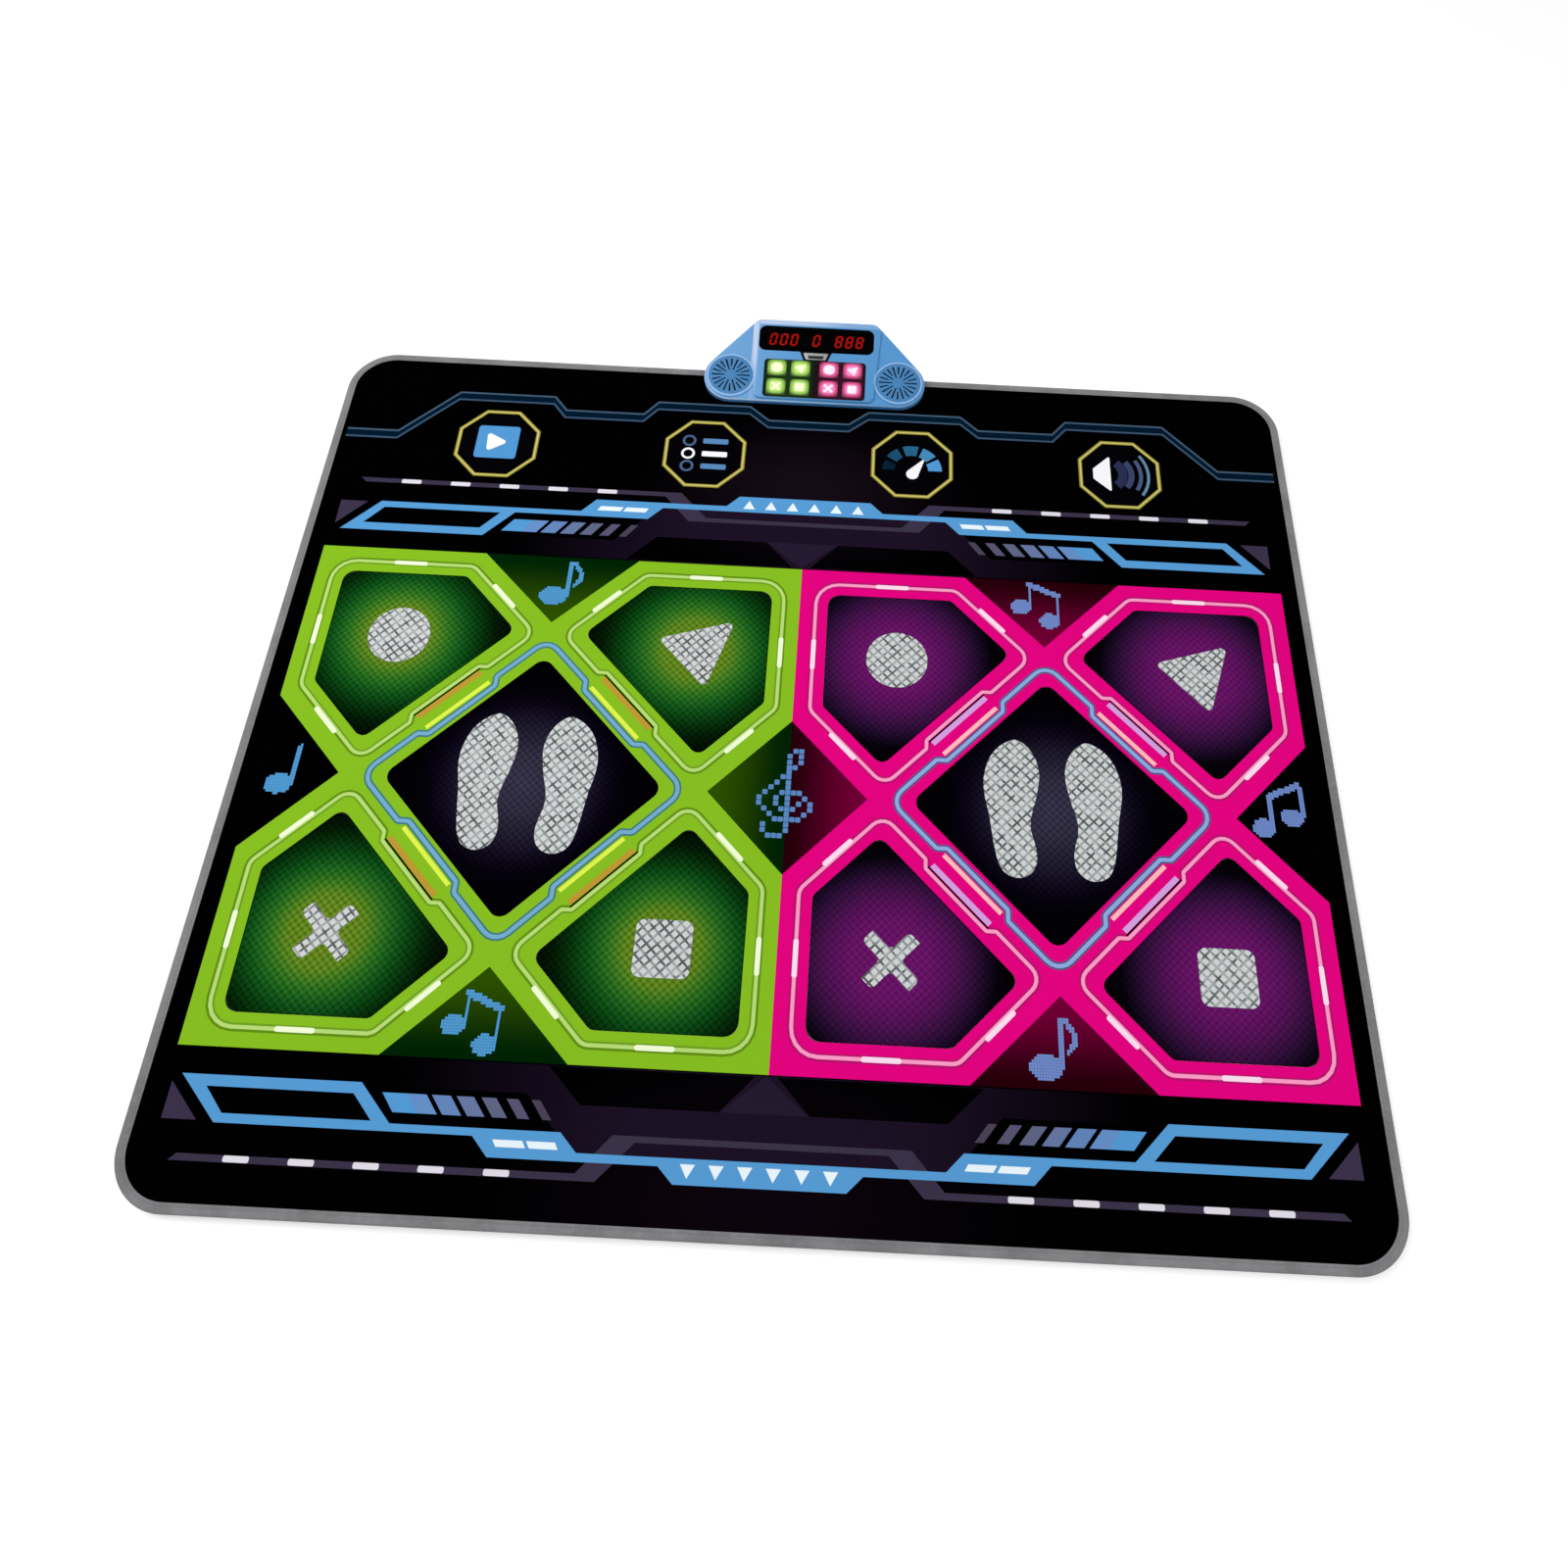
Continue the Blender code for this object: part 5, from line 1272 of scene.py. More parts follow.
# the console's housing, in metres
consoleSizes = {
    "frontHeight": 0.0140, "tilt": math.radians(6.0), "wall": 0.0022, "rounding": 0.0024,
    "lobeRadius": 0.032, "cornerRadius": 0.014, "cornerX": 0.06625, "skirt": 0.0018,
    "blockRise": 0.0025, "blockFoot": 0.0011, "blockRounding": 0.0012, "blockFrontX": 0.063,
    "blockCorner": 0.009, "blockMargin": 0.0024, "puckRadius": 0.030, "puckRise": 0.001,
    "puckRounding": 0.0007, "toolDepth": -0.02, "toolTop": 0.01,
}
# the openings and pieces of its sloping face, in millimetres
faceSizes = {
    "keyWidth": 23.6, "keyHeight": 22.5, "keyCorner": 3.5, "keyRounding": 1.0, "keyGap": 0.4,
    "keyLift": 1.9, "keyDepth": 3.0, "bezelWidth": 121.4, "bezelHeight": 52.0, "bezelCorner": 4.2,
    "lensWidth": 138.5, "lensHeight": 35.0, "lensCorner": 8.5, "lensTop": -0.2, "lensThickness": 1.0,
    "seatGap": 0.25, "lensLedge": 3.0, "rimRadius": 26.5, "grilleRadius": 26.2,
    "grilleOpening": 24.2, "slotCount": 20, "slotInner": (7.0, 12.0), "slotOuter": 22.9,
    "slotNarrow": 0.75, "slotWide": 1.1,
}
housingLow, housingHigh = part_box("upper_housing")
displayLow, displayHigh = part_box("display_window")
bezelLow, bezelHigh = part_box("key_bezel")
faceTurn = math.tan(consoleSizes["tilt"])
faceOrigin = Vector((0, housingLow.y - math.sin(consoleSizes["tilt"]) * consoleSizes["blockRise"],
                     consoleSizes["frontHeight"] + math.cos(consoleSizes["tilt"])
                     * consoleSizes["blockRise"]))


def faceHeight(y, lift=0.0):
    return (consoleSizes["frontHeight"] + faceTurn * (y - housingLow.y)
            + lift / math.cos(consoleSizes["tilt"]))


def onFace(x, along, lift=0.0):
    tilt = consoleSizes["tilt"]
    return faceOrigin + Vector((x, along * math.cos(tilt) - lift * math.sin(tilt),
                                along * math.sin(tilt) + lift * math.cos(tilt)))


def facePlace(node):
    # where a CAD piece of the sloping face has its middle, along the face, in metres
    low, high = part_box(node)
    middle = (low + high) / 2 - faceOrigin
    tilt = consoleSizes["tilt"]
    return middle.x, middle.y * math.cos(tilt) + middle.z * math.sin(tilt)


def setOnFace(piece, x, along):
    piece.rotation_euler = (consoleSizes["tilt"], 0, 0)
    piece.location = onFace(x, along)
    applyPlace(piece)
    return piece


def roundOutline(circles, inset=0.0, steps=16):
    # the tight outline round circles, counter-clockwise, in metres
    turns = []
    for i, (x, y, r) in enumerate(circles):
        nextX, nextY, nextR = circles[(i + 1) % len(circles)]
        length = math.hypot(nextX - x, nextY - y)
        turns.append(math.atan2(nextY - y, nextX - x) - math.acos((r - nextR) / length))
    outline = []
    for i, (x, y, r) in enumerate(circles):
        start = turns[i - 1]
        sweep = (turns[i] - start) % (2 * math.pi)
        for k in range(steps + 1):
            turn = start + sweep * k / steps
            outline.append((x + (r - inset) * math.cos(turn), y + (r - inset) * math.sin(turn)))
    return outline


def formFrom(name, outline, low, high):
    # a flat filled ring drawn to the outline, and pulled up
    deselectAll()
    bpy.ops.mesh.primitive_circle_add(vertices=len(outline), radius=1, fill_type="NGON")
    piece = bpy.context.object
    piece.name = name
    for vertex, (x, y) in zip(piece.data.vertices, outline):
        vertex.co = (x, y, low)
    bpy.ops.object.mode_set(mode="EDIT")
    bpy.ops.mesh.select_all(action="SELECT")
    bpy.ops.mesh.extrude_region_move(TRANSFORM_OT_translate={"value": (0, 0, high - low)})
    bpy.ops.mesh.select_all(action="SELECT")
    bpy.ops.mesh.normals_make_consistent(inside=False)
    bpy.ops.object.mode_set(mode="OBJECT")
    return piece


def bevelEdges(piece, wanted, width, segments):
    useOnly(piece)
    bpy.ops.object.mode_set(mode="EDIT")
    bpy.ops.mesh.select_mode(type="EDGE")
    bpy.ops.mesh.select_all(action="DESELECT")
    bpy.ops.object.mode_set(mode="OBJECT")
    for edge in piece.data.edges:
        edge.select = all(wanted(piece.data.vertices[k].co) for k in edge.vertices)
    bpy.ops.object.mode_set(mode="EDIT")
    bpy.ops.mesh.bevel(offset=width, segments=segments, profile=0.5, affect="EDGES",
                       clamp_overlap=False)
    bpy.ops.object.mode_set(mode="OBJECT")


def combine(piece, tool, operation):
    useOnly(piece)
    modifier = piece.modifiers.new(operation.lower(), "BOOLEAN")
    modifier.operation = operation
    modifier.solver = "EXACT"
    modifier.object = tool
    bpy.ops.object.modifier_apply(modifier=modifier.name)
    bpy.data.objects.remove(tool)


def slopedForm(name, outline, low, lift, rounding, segments, topOutline=None):
    # upright sides under the console's slope, and a round upper edge
    piece = formFrom(name, outline, low, 0.1)
    tops = [vertex for vertex in piece.data.vertices if vertex.co.z > 0.09]
    for vertex in tops:
        if topOutline:
            near = min(range(len(outline)), key=lambda i: math.dist(outline[i], vertex.co[:2]))
            vertex.co.x, vertex.co.y = topOutline[near]
        vertex.co.z = faceHeight(vertex.co.y, lift)
    if rounding:
        bevelEdges(piece, lambda co: abs(co.z - faceHeight(co.y, lift)) < 0.00002, rounding,
                   segments)
    return piece


def consoleCircles():
    s = consoleSizes
    frontY, backY = housingLow.y + s["lobeRadius"], housingHigh.y - s["cornerRadius"]
    lobeX = housingHigh.x - s["lobeRadius"]
    return [(-lobeX, frontY, s["lobeRadius"]), (lobeX, frontY, s["lobeRadius"]),
            (s["cornerX"], backY, s["cornerRadius"]), (-s["cornerX"], backY, s["cornerRadius"])]


def blockCircles():
    s = consoleSizes
    backY = housingHigh.y - s["cornerRadius"]
    front = housingLow.y + s["blockMargin"] + s["blockCorner"]
    back = s["cornerRadius"] - s["blockMargin"]
    x = s["blockFrontX"]
    return [(-x, front, s["blockCorner"]), (x, front, s["blockCorner"]),
            (s["cornerX"], backY, back), (-s["cornerX"], backY, back)]


lensShape = (faceSizes["lensWidth"], faceSizes["lensHeight"], faceSizes["lensCorner"])
keyShape = (faceSizes["keyWidth"], faceSizes["keyHeight"], faceSizes["keyCorner"])


def plateOutline(width, height, radius, grow=0.0, x=0.0, y=0.0, steps=6):
    halfX, halfY = width / 2 + grow, height / 2 + grow
    return rounded(boxOutline(x - halfX, y - halfY, x + halfX, y + halfY), radius + grow, steps)


# the blue plastic's face colour, then painted light: painted shade on the upright sides, painted
# highlights on the edges, round the pucks and beside the display, and a paler left
blueArt = {
    "face": rgb(78, 148, 206), "side": rgb(56, 114, 176), "edge": rgb(186, 214, 244),
    "ring": rgb(150, 188, 234), "left": rgb(122, 172, 224), "glint": rgb(206, 218, 240),
    "ringRadius": 0.0277,
}


def blueWithPaintedLight(tree):
    # painted highlights on the rounded edges and round the pucks, painted shade on the upright sides,
    # and painted light that makes the face paler to the left
    _, x, y, z = objectPlace(tree)
    slope = mathNode(tree, "MULTIPLY_ADD", mathNode(tree, "SUBTRACT", y, housingLow.y), faceTurn,
                     consoleSizes["frontHeight"])
    below = mathNode(tree, "SUBTRACT", slope, z)  # how deep a point is under the sloping face
    # painted shade: the upright sides below the face turn a deeper blue
    upright = mapRange(tree, below, 0.0012, 0.0026)
    # painted highlight on the rounded edges, stronger towards the left
    turned = mathNode(tree, "MULTIPLY", mapRange(tree, below, 0.00015, 0.0008),
                      mapRange(tree, below, 0.0008, 0.0022, 1.0, 0.0))
    lit = mathNode(tree, "MULTIPLY", turned, mapRange(tree, x, -0.09, 0.09, 1.0, 0.3,
                                                      smooth=False))
    # painted light from the left: the face turns paler towards the left
    left = mapRange(tree, x, -0.125, 0.03, 0.6, 0.0)
    colour = mixColours(tree, left, blueArt["face"], blueArt["left"])
    # light caught beside and behind the display, on the raised block
    side, back = displayLow.x - 0.0035, displayHigh.y + 0.001
    strip = mathNode(tree, "MULTIPLY", mapRange(tree, x, side - 0.006, side - 0.003),
                     mapRange(tree, x, side + 0.001, side + 0.004, 1.0, 0.0))
    strip = mathNode(tree, "MULTIPLY", strip, mapRange(tree, y, bezelLow.y, displayLow.y, 0.15,
                                                       0.8))
    behind = mathNode(tree, "MULTIPLY", mapRange(tree, y, back, back + 0.002),
                      mapRange(tree, x, -0.02, 0.05, 0.75, 0.25))
    behind = mathNode(tree, "MULTIPLY", behind, mapRange(tree, x, -0.075, -0.068))
    colour = mixColours(tree, mathNode(tree, "MAXIMUM", strip, behind), colour,
                        blueArt["glint"])
    colour = mixColours(tree, lit, colour, blueArt["edge"])
    colour = mixColours(tree, mathNode(tree, "MULTIPLY", upright, 0.8), colour, blueArt["side"])
    # painted highlight: a pale ring round each puck
    lobe = consoleCircles()[1]
    acrossX = mathNode(tree, "SUBTRACT", mathNode(tree, "ABSOLUTE", x), abs(lobe[0]))
    acrossY = mathNode(tree, "SUBTRACT", y, lobe[1])
    reach = mathNode(tree, "SQRT", mathNode(tree, "ADD", mathNode(
        tree, "MULTIPLY", acrossX, acrossX), mathNode(tree, "MULTIPLY", acrossY, acrossY)))
    away = mathNode(tree, "ABSOLUTE", mathNode(tree, "SUBTRACT", reach, blueArt["ringRadius"]))
    ring = mathNode(tree, "SUBTRACT", 1.0, mapRange(tree, away, 0.0006, 0.0018))
    return mixColours(tree, mathNode(tree, "MULTIPLY", ring, 0.75), colour, blueArt["ring"])


grillePlastic = plasticMaterial("grille plastic", rgb(66, 128, 182), 0.42, 0.06, shine=0.3)


def buildHousing():
    s = consoleSizes
    circles, block = consoleCircles(), blockCircles()
    housing = slopedForm("console_housing", roundOutline(circles), s["skirt"], 0, s["rounding"], 6)
    sunk = faceHeight(housingLow.y) - 0.003  # the raised forms start inside the shell
    foot = slopedForm("block", roundOutline(block, -s["blockFoot"]), sunk, s["blockRise"],
                      s["blockRounding"], 4, roundOutline(block))
    combine(housing, foot, "UNION")
    for side in (-1, 1):
        puck = circleOutline(side * circles[1][0], circles[1][1], s["puckRadius"], 64)
        combine(housing, slopedForm("puck", puck, sunk, s["puckRise"], s["puckRounding"], 3),
                "UNION")
    combine(housing, slopedForm("hollow", roundOutline(circles, s["wall"]), -0.01, -s["wall"], 0,
                                0), "DIFFERENCE")
    combine(housing, slopedForm("block_hollow", roundOutline(block, s["wall"]), 0.0085,
                                s["blockRise"] - s["wall"], 0, 0), "DIFFERENCE")
    matBack = cadHalf[1] * mm + 0.0003
    combine(housing, formFrom("mat_space", boxOutline(-0.6, 0, 0.6, matBack), -0.01, 0.0088),
            "DIFFERENCE")
    deep, above = s["toolDepth"], s["toolTop"]
    gap, ledge = faceSizes["seatGap"], faceSizes["lensLedge"]
    width = (bezelHigh.x - bezelLow.x) / mm
    window = makePlate("window", [plateOutline(width, faceSizes["bezelHeight"],
                                               faceSizes["bezelCorner"], gap)], deep, above, 0)
    combine(housing, setOnFace(window, 0, facePlace("key_bezel")[1]), "DIFFERENCE")
    along = facePlace("display_window")[1]
    seat = makePlate("seat", [plateOutline(*lensShape, gap)], -0.0016, above, 0)
    combine(housing, setOnFace(seat, 0, along), "DIFFERENCE")
    opening = makePlate("opening", [plateOutline(*lensShape, -ledge)], deep, above, 0)
    combine(housing, setOnFace(opening, 0, along), "DIFFERENCE")
    for word in ("left", "right"):
        x, along = facePlace("speaker_grille_" + word)
        for name, radius, bottom in (("rim", faceSizes["rimRadius"], -0.0031),
                                     ("hole", faceSizes["grilleOpening"], deep)):
            tool = makePlate(name, [circleOutline(0, 0, radius, steps=64)], bottom, above, 0)
            combine(housing, setOnFace(tool, x, along), "DIFFERENCE")
    low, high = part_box("power_switch")
    slot = formFrom("switch_slot", boxOutline(low.x + 0.0008, high.y - 0.008, high.x + 0.0032,
                                              high.y + 0.004), 0.0096, 0.0144)
    combine(housing, slot, "DIFFERENCE")
    useOnly(housing)
    bpy.ops.object.mode_set(mode="EDIT")
    bpy.ops.mesh.select_all(action="SELECT")
    bpy.ops.mesh.remove_doubles(threshold=weldDistance)
    bpy.ops.object.mode_set(mode="OBJECT")
    bpy.ops.object.shade_smooth_by_angle(angle=math.radians(32))
    finishPiece(housing, plasticMaterial("blue plastic", blueWithPaintedLight, 0.36, 0.06, coat=0.1,
                                         shine=0.4), replaced=["upper_housing"])
    print("housing moulded")


def buildGrilles():
    s = faceSizes
    wide, narrow = s["slotWide"], s["slotNarrow"]
    for word in ("left", "right"):
        outlines = [circleOutline(0, 0, s["grilleRadius"], steps=64)]
        for k in range(s["slotCount"]):
            inner = s["slotInner"][k % 2]
            corners = [(inner, -narrow), (s["slotOuter"], -wide), (s["slotOuter"], wide),
                       (inner, narrow)]
            turn = 2 * math.pi * k / s["slotCount"]
            c, d = math.cos(turn), math.sin(turn)
            outlines.append([(px * c - py * d, px * d + py * c) for px, py in
                             rounded(corners, [0.5, 0.9, 0.9, 0.5], 4)])
        grille = makePlate("grille_" + word, outlines, -0.0027, -0.0015, 0.0002, 1)
        x, along = facePlace("speaker_grille_" + word)
        setOnFace(grille, x, along)
        finishPiece(grille, grillePlastic,
                    replaced=["speaker_grille_" + word])
    print("grilles made")


def keyMaterial(name, body, halo, rim, centres):
    # coloured rubber with painted backlight: a painted glow paler round the symbol, and painted shade
    # dark at the rim
    made, tree, shader = startMaterial(name)
    _, x, y, _ = objectPlace(tree)
    nearest = None
    for cx, cy in centres:
        squares = [mathNode(tree, "POWER", mathNode(tree, "ABSOLUTE", mathNode(
            tree, "DIVIDE", mathNode(tree, "SUBTRACT", place, middle), half)), 3.0)
            for place, middle, half in ((x, cx, 0.0118), (y, cy, 0.0112))]
        reach = mathNode(tree, "POWER", mathNode(tree, "ADD", *squares), 1 / 3)
        nearest = reach if nearest is None else mathNode(tree, "MINIMUM", nearest, reach)
    colour = mixColours(tree, mapRange(tree, nearest, 0.45, 0.86), halo, body)
    colour = mixColours(tree, mapRange(tree, nearest, 0.82, 1.04, 0.0, 0.9), colour, rim)
    height = useFinish(tree, shader, mouldedGroup, colour=colour, grain=2400.0, change=0.08,
                       roughness=0.36)
    # the rubber glows faintly as painted backlight
    tree.links.new(colour, shader.inputs["Emission Color"])
    shader.inputs["Emission Strength"].default_value = 0.12
    addBump(tree, shader, height, 0.15, 0.0001)
    return made


def litMaterial(name, colour, light, strength, roughness=0.4):
    made, tree, shader = startMaterial(name)
    place, _, _, _ = objectPlace(tree)
    shade = mapRange(tree, noiseAt(tree, place, 300.0, 2.0), 0.3, 0.7, 0.5, 0.8)
    tree.links.new(mixColours(tree, shade, colour, light), shader.inputs["Base Color"])
    shader.inputs["Emission Color"].default_value = light
    shader.inputs["Emission Strength"].default_value = strength
    shader.inputs["Roughness"].default_value = roughness
    return made


keyArt = {
    # body, paler halo of painted backlight, dark rim of painted shade, symbol that glows as painted
    # backlight
    "green": (rgb(126, 178, 62), rgb(196, 232, 124), rgb(26, 56, 10), rgb(238, 255, 210)),
    "pink": (rgb(202, 52, 118), rgb(244, 138, 190), rgb(62, 8, 36), rgb(255, 230, 244)),
    "symbolLift": 0.2,
    "scales": {"circle": 0.205, "triangle": 0.165, "cross": 0.225, "square": 0.195},
}


def buildKeys():
    low, top = -faceSizes["keyDepth"] * mm, faceSizes["keyLift"] * mm
    for colour in fieldPlaces:
        body, halo, rim, light = keyArt[colour]
        boxes = {word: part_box(f"key_{colour}_{word}") for word in quarterNames.values()}
        centres = [tuple(((low + high) / 2)[:2]) for low, high in boxes.values()]
        made = keyMaterial(colour + " key rubber", body, halo, rim, centres)
        # the symbols glow as painted backlight
        lit = litMaterial(colour + " key light", halo, light, 0.35)
        for word in quarterNames.values():
            x, along = facePlace(f"key_{colour}_{word}")
            button = f"button_{colour}_{word}"
            key = makePlate(f"key_cap_{colour}_{word}", [plateOutline(*keyShape)], low, top,
                            faceSizes["keyRounding"] * mm, 4)
            finishPiece(setOnFace(key, x, along), made, button,
                        [f"key_{colour}_{word}"])
            scale = keyArt["scales"][word]
            outlines = [[(px * scale, py * scale) for px, py in outline]
                        for outline in symbolOutlines(word)]
            mark = makePlate(f"key_symbol_{colour}_{word}", outlines, top - 0.0001,
                             top + keyArt["symbolLift"] * mm, 0.00005, 1)
            finishPiece(setOnFace(mark, x, along), lit, button)


def bezelColour(tree):
    # black, with a little green and pink spilling from the lit keys
    _, x, _, _ = objectPlace(tree)
    colour = rgb(2, 2, 4)
    for operation, spill in (("ADD", rgb(20, 52, 8)), ("SUBTRACT", rgb(58, 5, 32))):
        away = mathNode(tree, "ABSOLUTE", mathNode(tree, operation, x, 0.0312))
        near = mathNode(tree, "SUBTRACT", 1.0, mapRange(tree, away, 0.020, 0.034))
        colour = mixColours(tree, near, colour, spill)
    return colour


def buildBezel():
    x, along = facePlace("key_bezel")
    outlines = [plateOutline(faceSizes["bezelWidth"], faceSizes["bezelHeight"],
                             faceSizes["bezelCorner"])]
    for colour in fieldPlaces:
        for word in quarterNames.values():
            keyX, keyAlong = facePlace(f"key_{colour}_{word}")
            outlines.append(plateOutline(*keyShape, faceSizes["keyGap"], keyX / mm,
                                         (keyAlong - along) / mm))
    bezel = makePlate("key_frame", outlines, -0.0019, 0.0005, 0.00025, 2)
    finishPiece(setOnFace(bezel, x, along),
                plasticMaterial("black gloss plastic", bezelColour, 0.3, 0.05, bump=0.05,
                                shine=0.08), replaced=["key_bezel"])


digitArt = {
    "height": 16.8, "width": 8.6, "bar": 2.1, "gap": 0.25, "slant": 0.16, "pitch": 12.6,
    "on": rgb(255, 64, 40), "off": rgb(44, 10, 10),
}


def digitBars():
    # seven bars of one digit, each a six-sided outline, slanted to the right
    h, w, b = digitArt["height"] / 2, digitArt["width"] / 2, digitArt["bar"] / 2
    gap = digitArt["gap"]
    bars = []
    for level in (-1, 0, 1):
        y = level * (h - b)
        bars.append([(-w + b + gap, y), (-w + 2 * b + gap, y - b), (w - 2 * b - gap, y - b),
                     (w - b - gap, y), (w - 2 * b - gap, y + b), (-w + 2 * b + gap, y + b)])
    for side in (-1, 1):
        for level in (-1, 1):
            x = side * (w - b)
            low, high = sorted((0, level * (h - b)))
            low, high = low + gap, high - gap
            bars.append([(x, low), (x + b, low + b), (x + b, high - b), (x, high),
                         (x - b, high - b), (x - b, low + b)])
    return [[(px + py * digitArt["slant"], py) for px, py in bar] for bar in bars]


def buildDisplay():
    along = facePlace("display_window")[1]
    holes, on, off = [], [], []
    for word, digits, lit in (("left", 3, "000"), ("middle", 1, "0"), ("right", 3, "888")):
        moduleX, _ = facePlace("digit_module_" + word)
        moduleX /= mm
        half = digits * digitArt["pitch"] / 2
        holes.append(plateOutline(2 * half, 19.0, 0.6, 0.1, moduleX, 0, 2))
        for k, digit in enumerate(lit):
            centre = moduleX + (k - (digits - 1) / 2) * digitArt["pitch"]
            for index, bar in enumerate(digitBars()):
                moved = [(px + centre, py) for px, py in bar]
                (off if digit == "0" and index == 1 else on).append(moved)
    litRed = litMaterial("lit digits", rgb(176, 60, 48), digitArt["on"], 2.3, 0.5)
    dark = litMaterial("unlit digits", rgb(60, 14, 12), digitArt["off"], 0.15, 0.5)
    for name, outlines, made in (("digits_lit", on, litRed), ("digits_unlit", off, dark)):
        bars = makePlate(name, outlines, -0.0016, -0.0014, 0.00003, 0)
        finishPiece(setOnFace(bars, 0, along), made)
    mask = makePlate("display_mask", [plateOutline(137.9, 34.4, 8.3)] + holes, -0.00150,
                     -0.00128, 0.00003, 0)
    finishPiece(setOnFace(mask, 0, along),
                plasticMaterial("display mask", rgb(3, 2, 3), 0.5, 0.1, shine=0.02))
    lensTop = faceSizes["lensTop"] * mm
    lens = makePlate("smoked_window", [plateOutline(*lensShape, steps=10)],
                     lensTop - faceSizes["lensThickness"] * mm, lensTop, 0.0003, 3)
    made, tree, shader = startMaterial("smoked lens")
    shader.inputs["Transmission Weight"].default_value = 1.0
    shader.inputs["IOR"].default_value = 1.08
    shader.inputs["Specular IOR Level"].default_value = 0.05
    place, _, _, _ = objectPlace(tree)
    smear = noiseAt(tree, place, 60.0, 3.0)
    tree.links.new(mixColours(tree, mapRange(tree, smear, 0.35, 0.7), rgb(112, 62, 62),
                              rgb(120, 68, 66)), shader.inputs["Base Color"])
    tree.links.new(mapRange(tree, smear, 0.35, 0.7, 0.02, 0.07), shader.inputs["Roughness"])
    finishPiece(setOnFace(lens, 0, along), made, replaced=["display_window"])


def brushedMaterial(name, colour, roughness):
    made, tree, shader = startMaterial(name)
    place, _, _, _ = objectPlace(tree)
    stretch = addNode(tree, "ShaderNodeMapping")
    stretch.inputs["Scale"].default_value = (60.0, 2600.0, 2600.0)
    tree.links.new(place, stretch.inputs["Vector"])
    lines = noiseAt(tree, stretch.outputs[0], 1.0, 3.0)
    tree.links.new(mixColours(tree, lines, tuple(c * 0.8 for c in colour[:3]) + (1.0,), colour),
                   shader.inputs["Base Color"])
    tree.links.new(mapRange(tree, lines, 0.2, 0.8, roughness - 0.08, roughness + 0.12),
                   shader.inputs["Roughness"])
    shader.inputs["Metallic"].default_value = 0.85
    addBump(tree, shader, lines, 0.15, 0.00005)
    return made


def buildBadge():
    along = facePlace("badge_plate")[1]
    corners = [(-11.75, -4.6), (11.75, -4.6), (15, 4.6), (-15, 4.6)]
    frame = rounded(grown(corners, 3.4), 1.6, 4)
    inner = rounded(grown(corners, 0.25), 1.0, 4)
    surround = makePlate("badge_surround", [[(px, min(max(py, -5.9), 5.8)) for px, py in frame],
                                            inner], -0.0002, 0.00035, 0.00015, 2)
    black = plasticMaterial("badge surround", rgb(4, 4, 6), 0.35, 0.05, shine=0.1)
    finishPiece(setOnFace(surround, 0, along), black)
    badge = makePlate("badge", [rounded(corners, 0.9, 4)], -0.0006, 0.0003, 0.0002, 2)
    finishPiece(setOnFace(badge, 0, along), brushedMaterial("brushed silver", rgb(196, 197, 194),
                                                            0.4),
                replaced=["badge_plate"])
    inset = makePlate("badge_inset", [rounded([(-8.6, -3.6), (8.6, -3.6), (10.0, 1.0),
                                               (-10.0, 1.0)], 0.7, 4)], 0.00022, 0.00036,
                      0.00004, 1)
    finishPiece(setOnFace(inset, 0, along), plasticMaterial("badge inset", rgb(40, 42, 42), 0.4,
                                                            0.2, shine=0.2))
    print("face pieces made")


def buildSwitch():
    low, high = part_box("power_switch")
    middle = (low + high) / 2
    knob = formFrom("switch_knob", boxOutline(middle.x - 0.0025, high.y - 0.0042,
                                              middle.x + 0.0025, high.y), middle.z - 0.002,
                    middle.z + 0.002)
    bevelEdges(knob, lambda co: co.y > high.y - 0.0001, 0.0004, 3)
    for k in range(-1, 2):
        groove = formFrom("groove", boxOutline(middle.x + k * 0.0013 - 0.0003, high.y - 0.0005,
                                               middle.x + k * 0.0013 + 0.0003, high.y + 0.001),
                          middle.z - 0.003, middle.z + 0.003)
        combine(knob, groove, "DIFFERENCE")
    collar = formFrom("collar", boxOutline(low.x, low.y, high.x, low.y + 0.0012), low.z, high.z)
    combine(knob, collar, "UNION")
    useOnly(knob)
    bpy.ops.object.shade_smooth_by_angle(angle=math.radians(35))
    finishPiece(knob, plasticMaterial("switch plastic", rgb(24, 25, 28), 0.4, 0.1),
                "switch", ["power_switch"])


doorSizes = {"flange": 0.001, "flangeThickness": 0.0006, "grooves": 6, "grooveFrom": 0.012,
             "groovePitch": 0.0026, "grooveReach": 0.011, "grooveTaper": 0.0008}


def buildDoor():
    s = doorSizes
    low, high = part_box("battery_door")
    half, wide = high.x - s["flange"], high.x
    door = formFrom("sliding_door", boxOutline(-half, low.y, half, high.y), low.z, high.z)
    flange = formFrom("flange", boxOutline(-wide, low.y, wide, high.y),
                      high.z - s["flangeThickness"], high.z)
    combine(door, flange, "UNION")
    for k in range(s["grooves"]):
        y = high.y - s["grooveFrom"] - k * s["groovePitch"]
        reach = s["grooveReach"] - k * s["grooveTaper"]
        groove = makePlate("groove", [rounded(boxOutline(-reach / mm, y / mm - 0.6, reach / mm,
                                                         y / mm + 0.6), 0.59, 4)],
                           -0.001, 0.0005, 0)
        combine(door, groove, "DIFFERENCE")
    useOnly(door)
    bpy.ops.object.shade_smooth_by_angle(angle=math.radians(35))
    finishPiece(door, basePlastic, "door", ["battery_door"])


steelMade = brushedMaterial("zinc steel", rgb(186, 190, 196), 0.3)
screwSizes = {"headDepth": 0.0012, "headRounding": 0.0003, "shankShare": 0.52,
              "cross": (0.0014, 0.00035), "crossDepth": 0.0007}


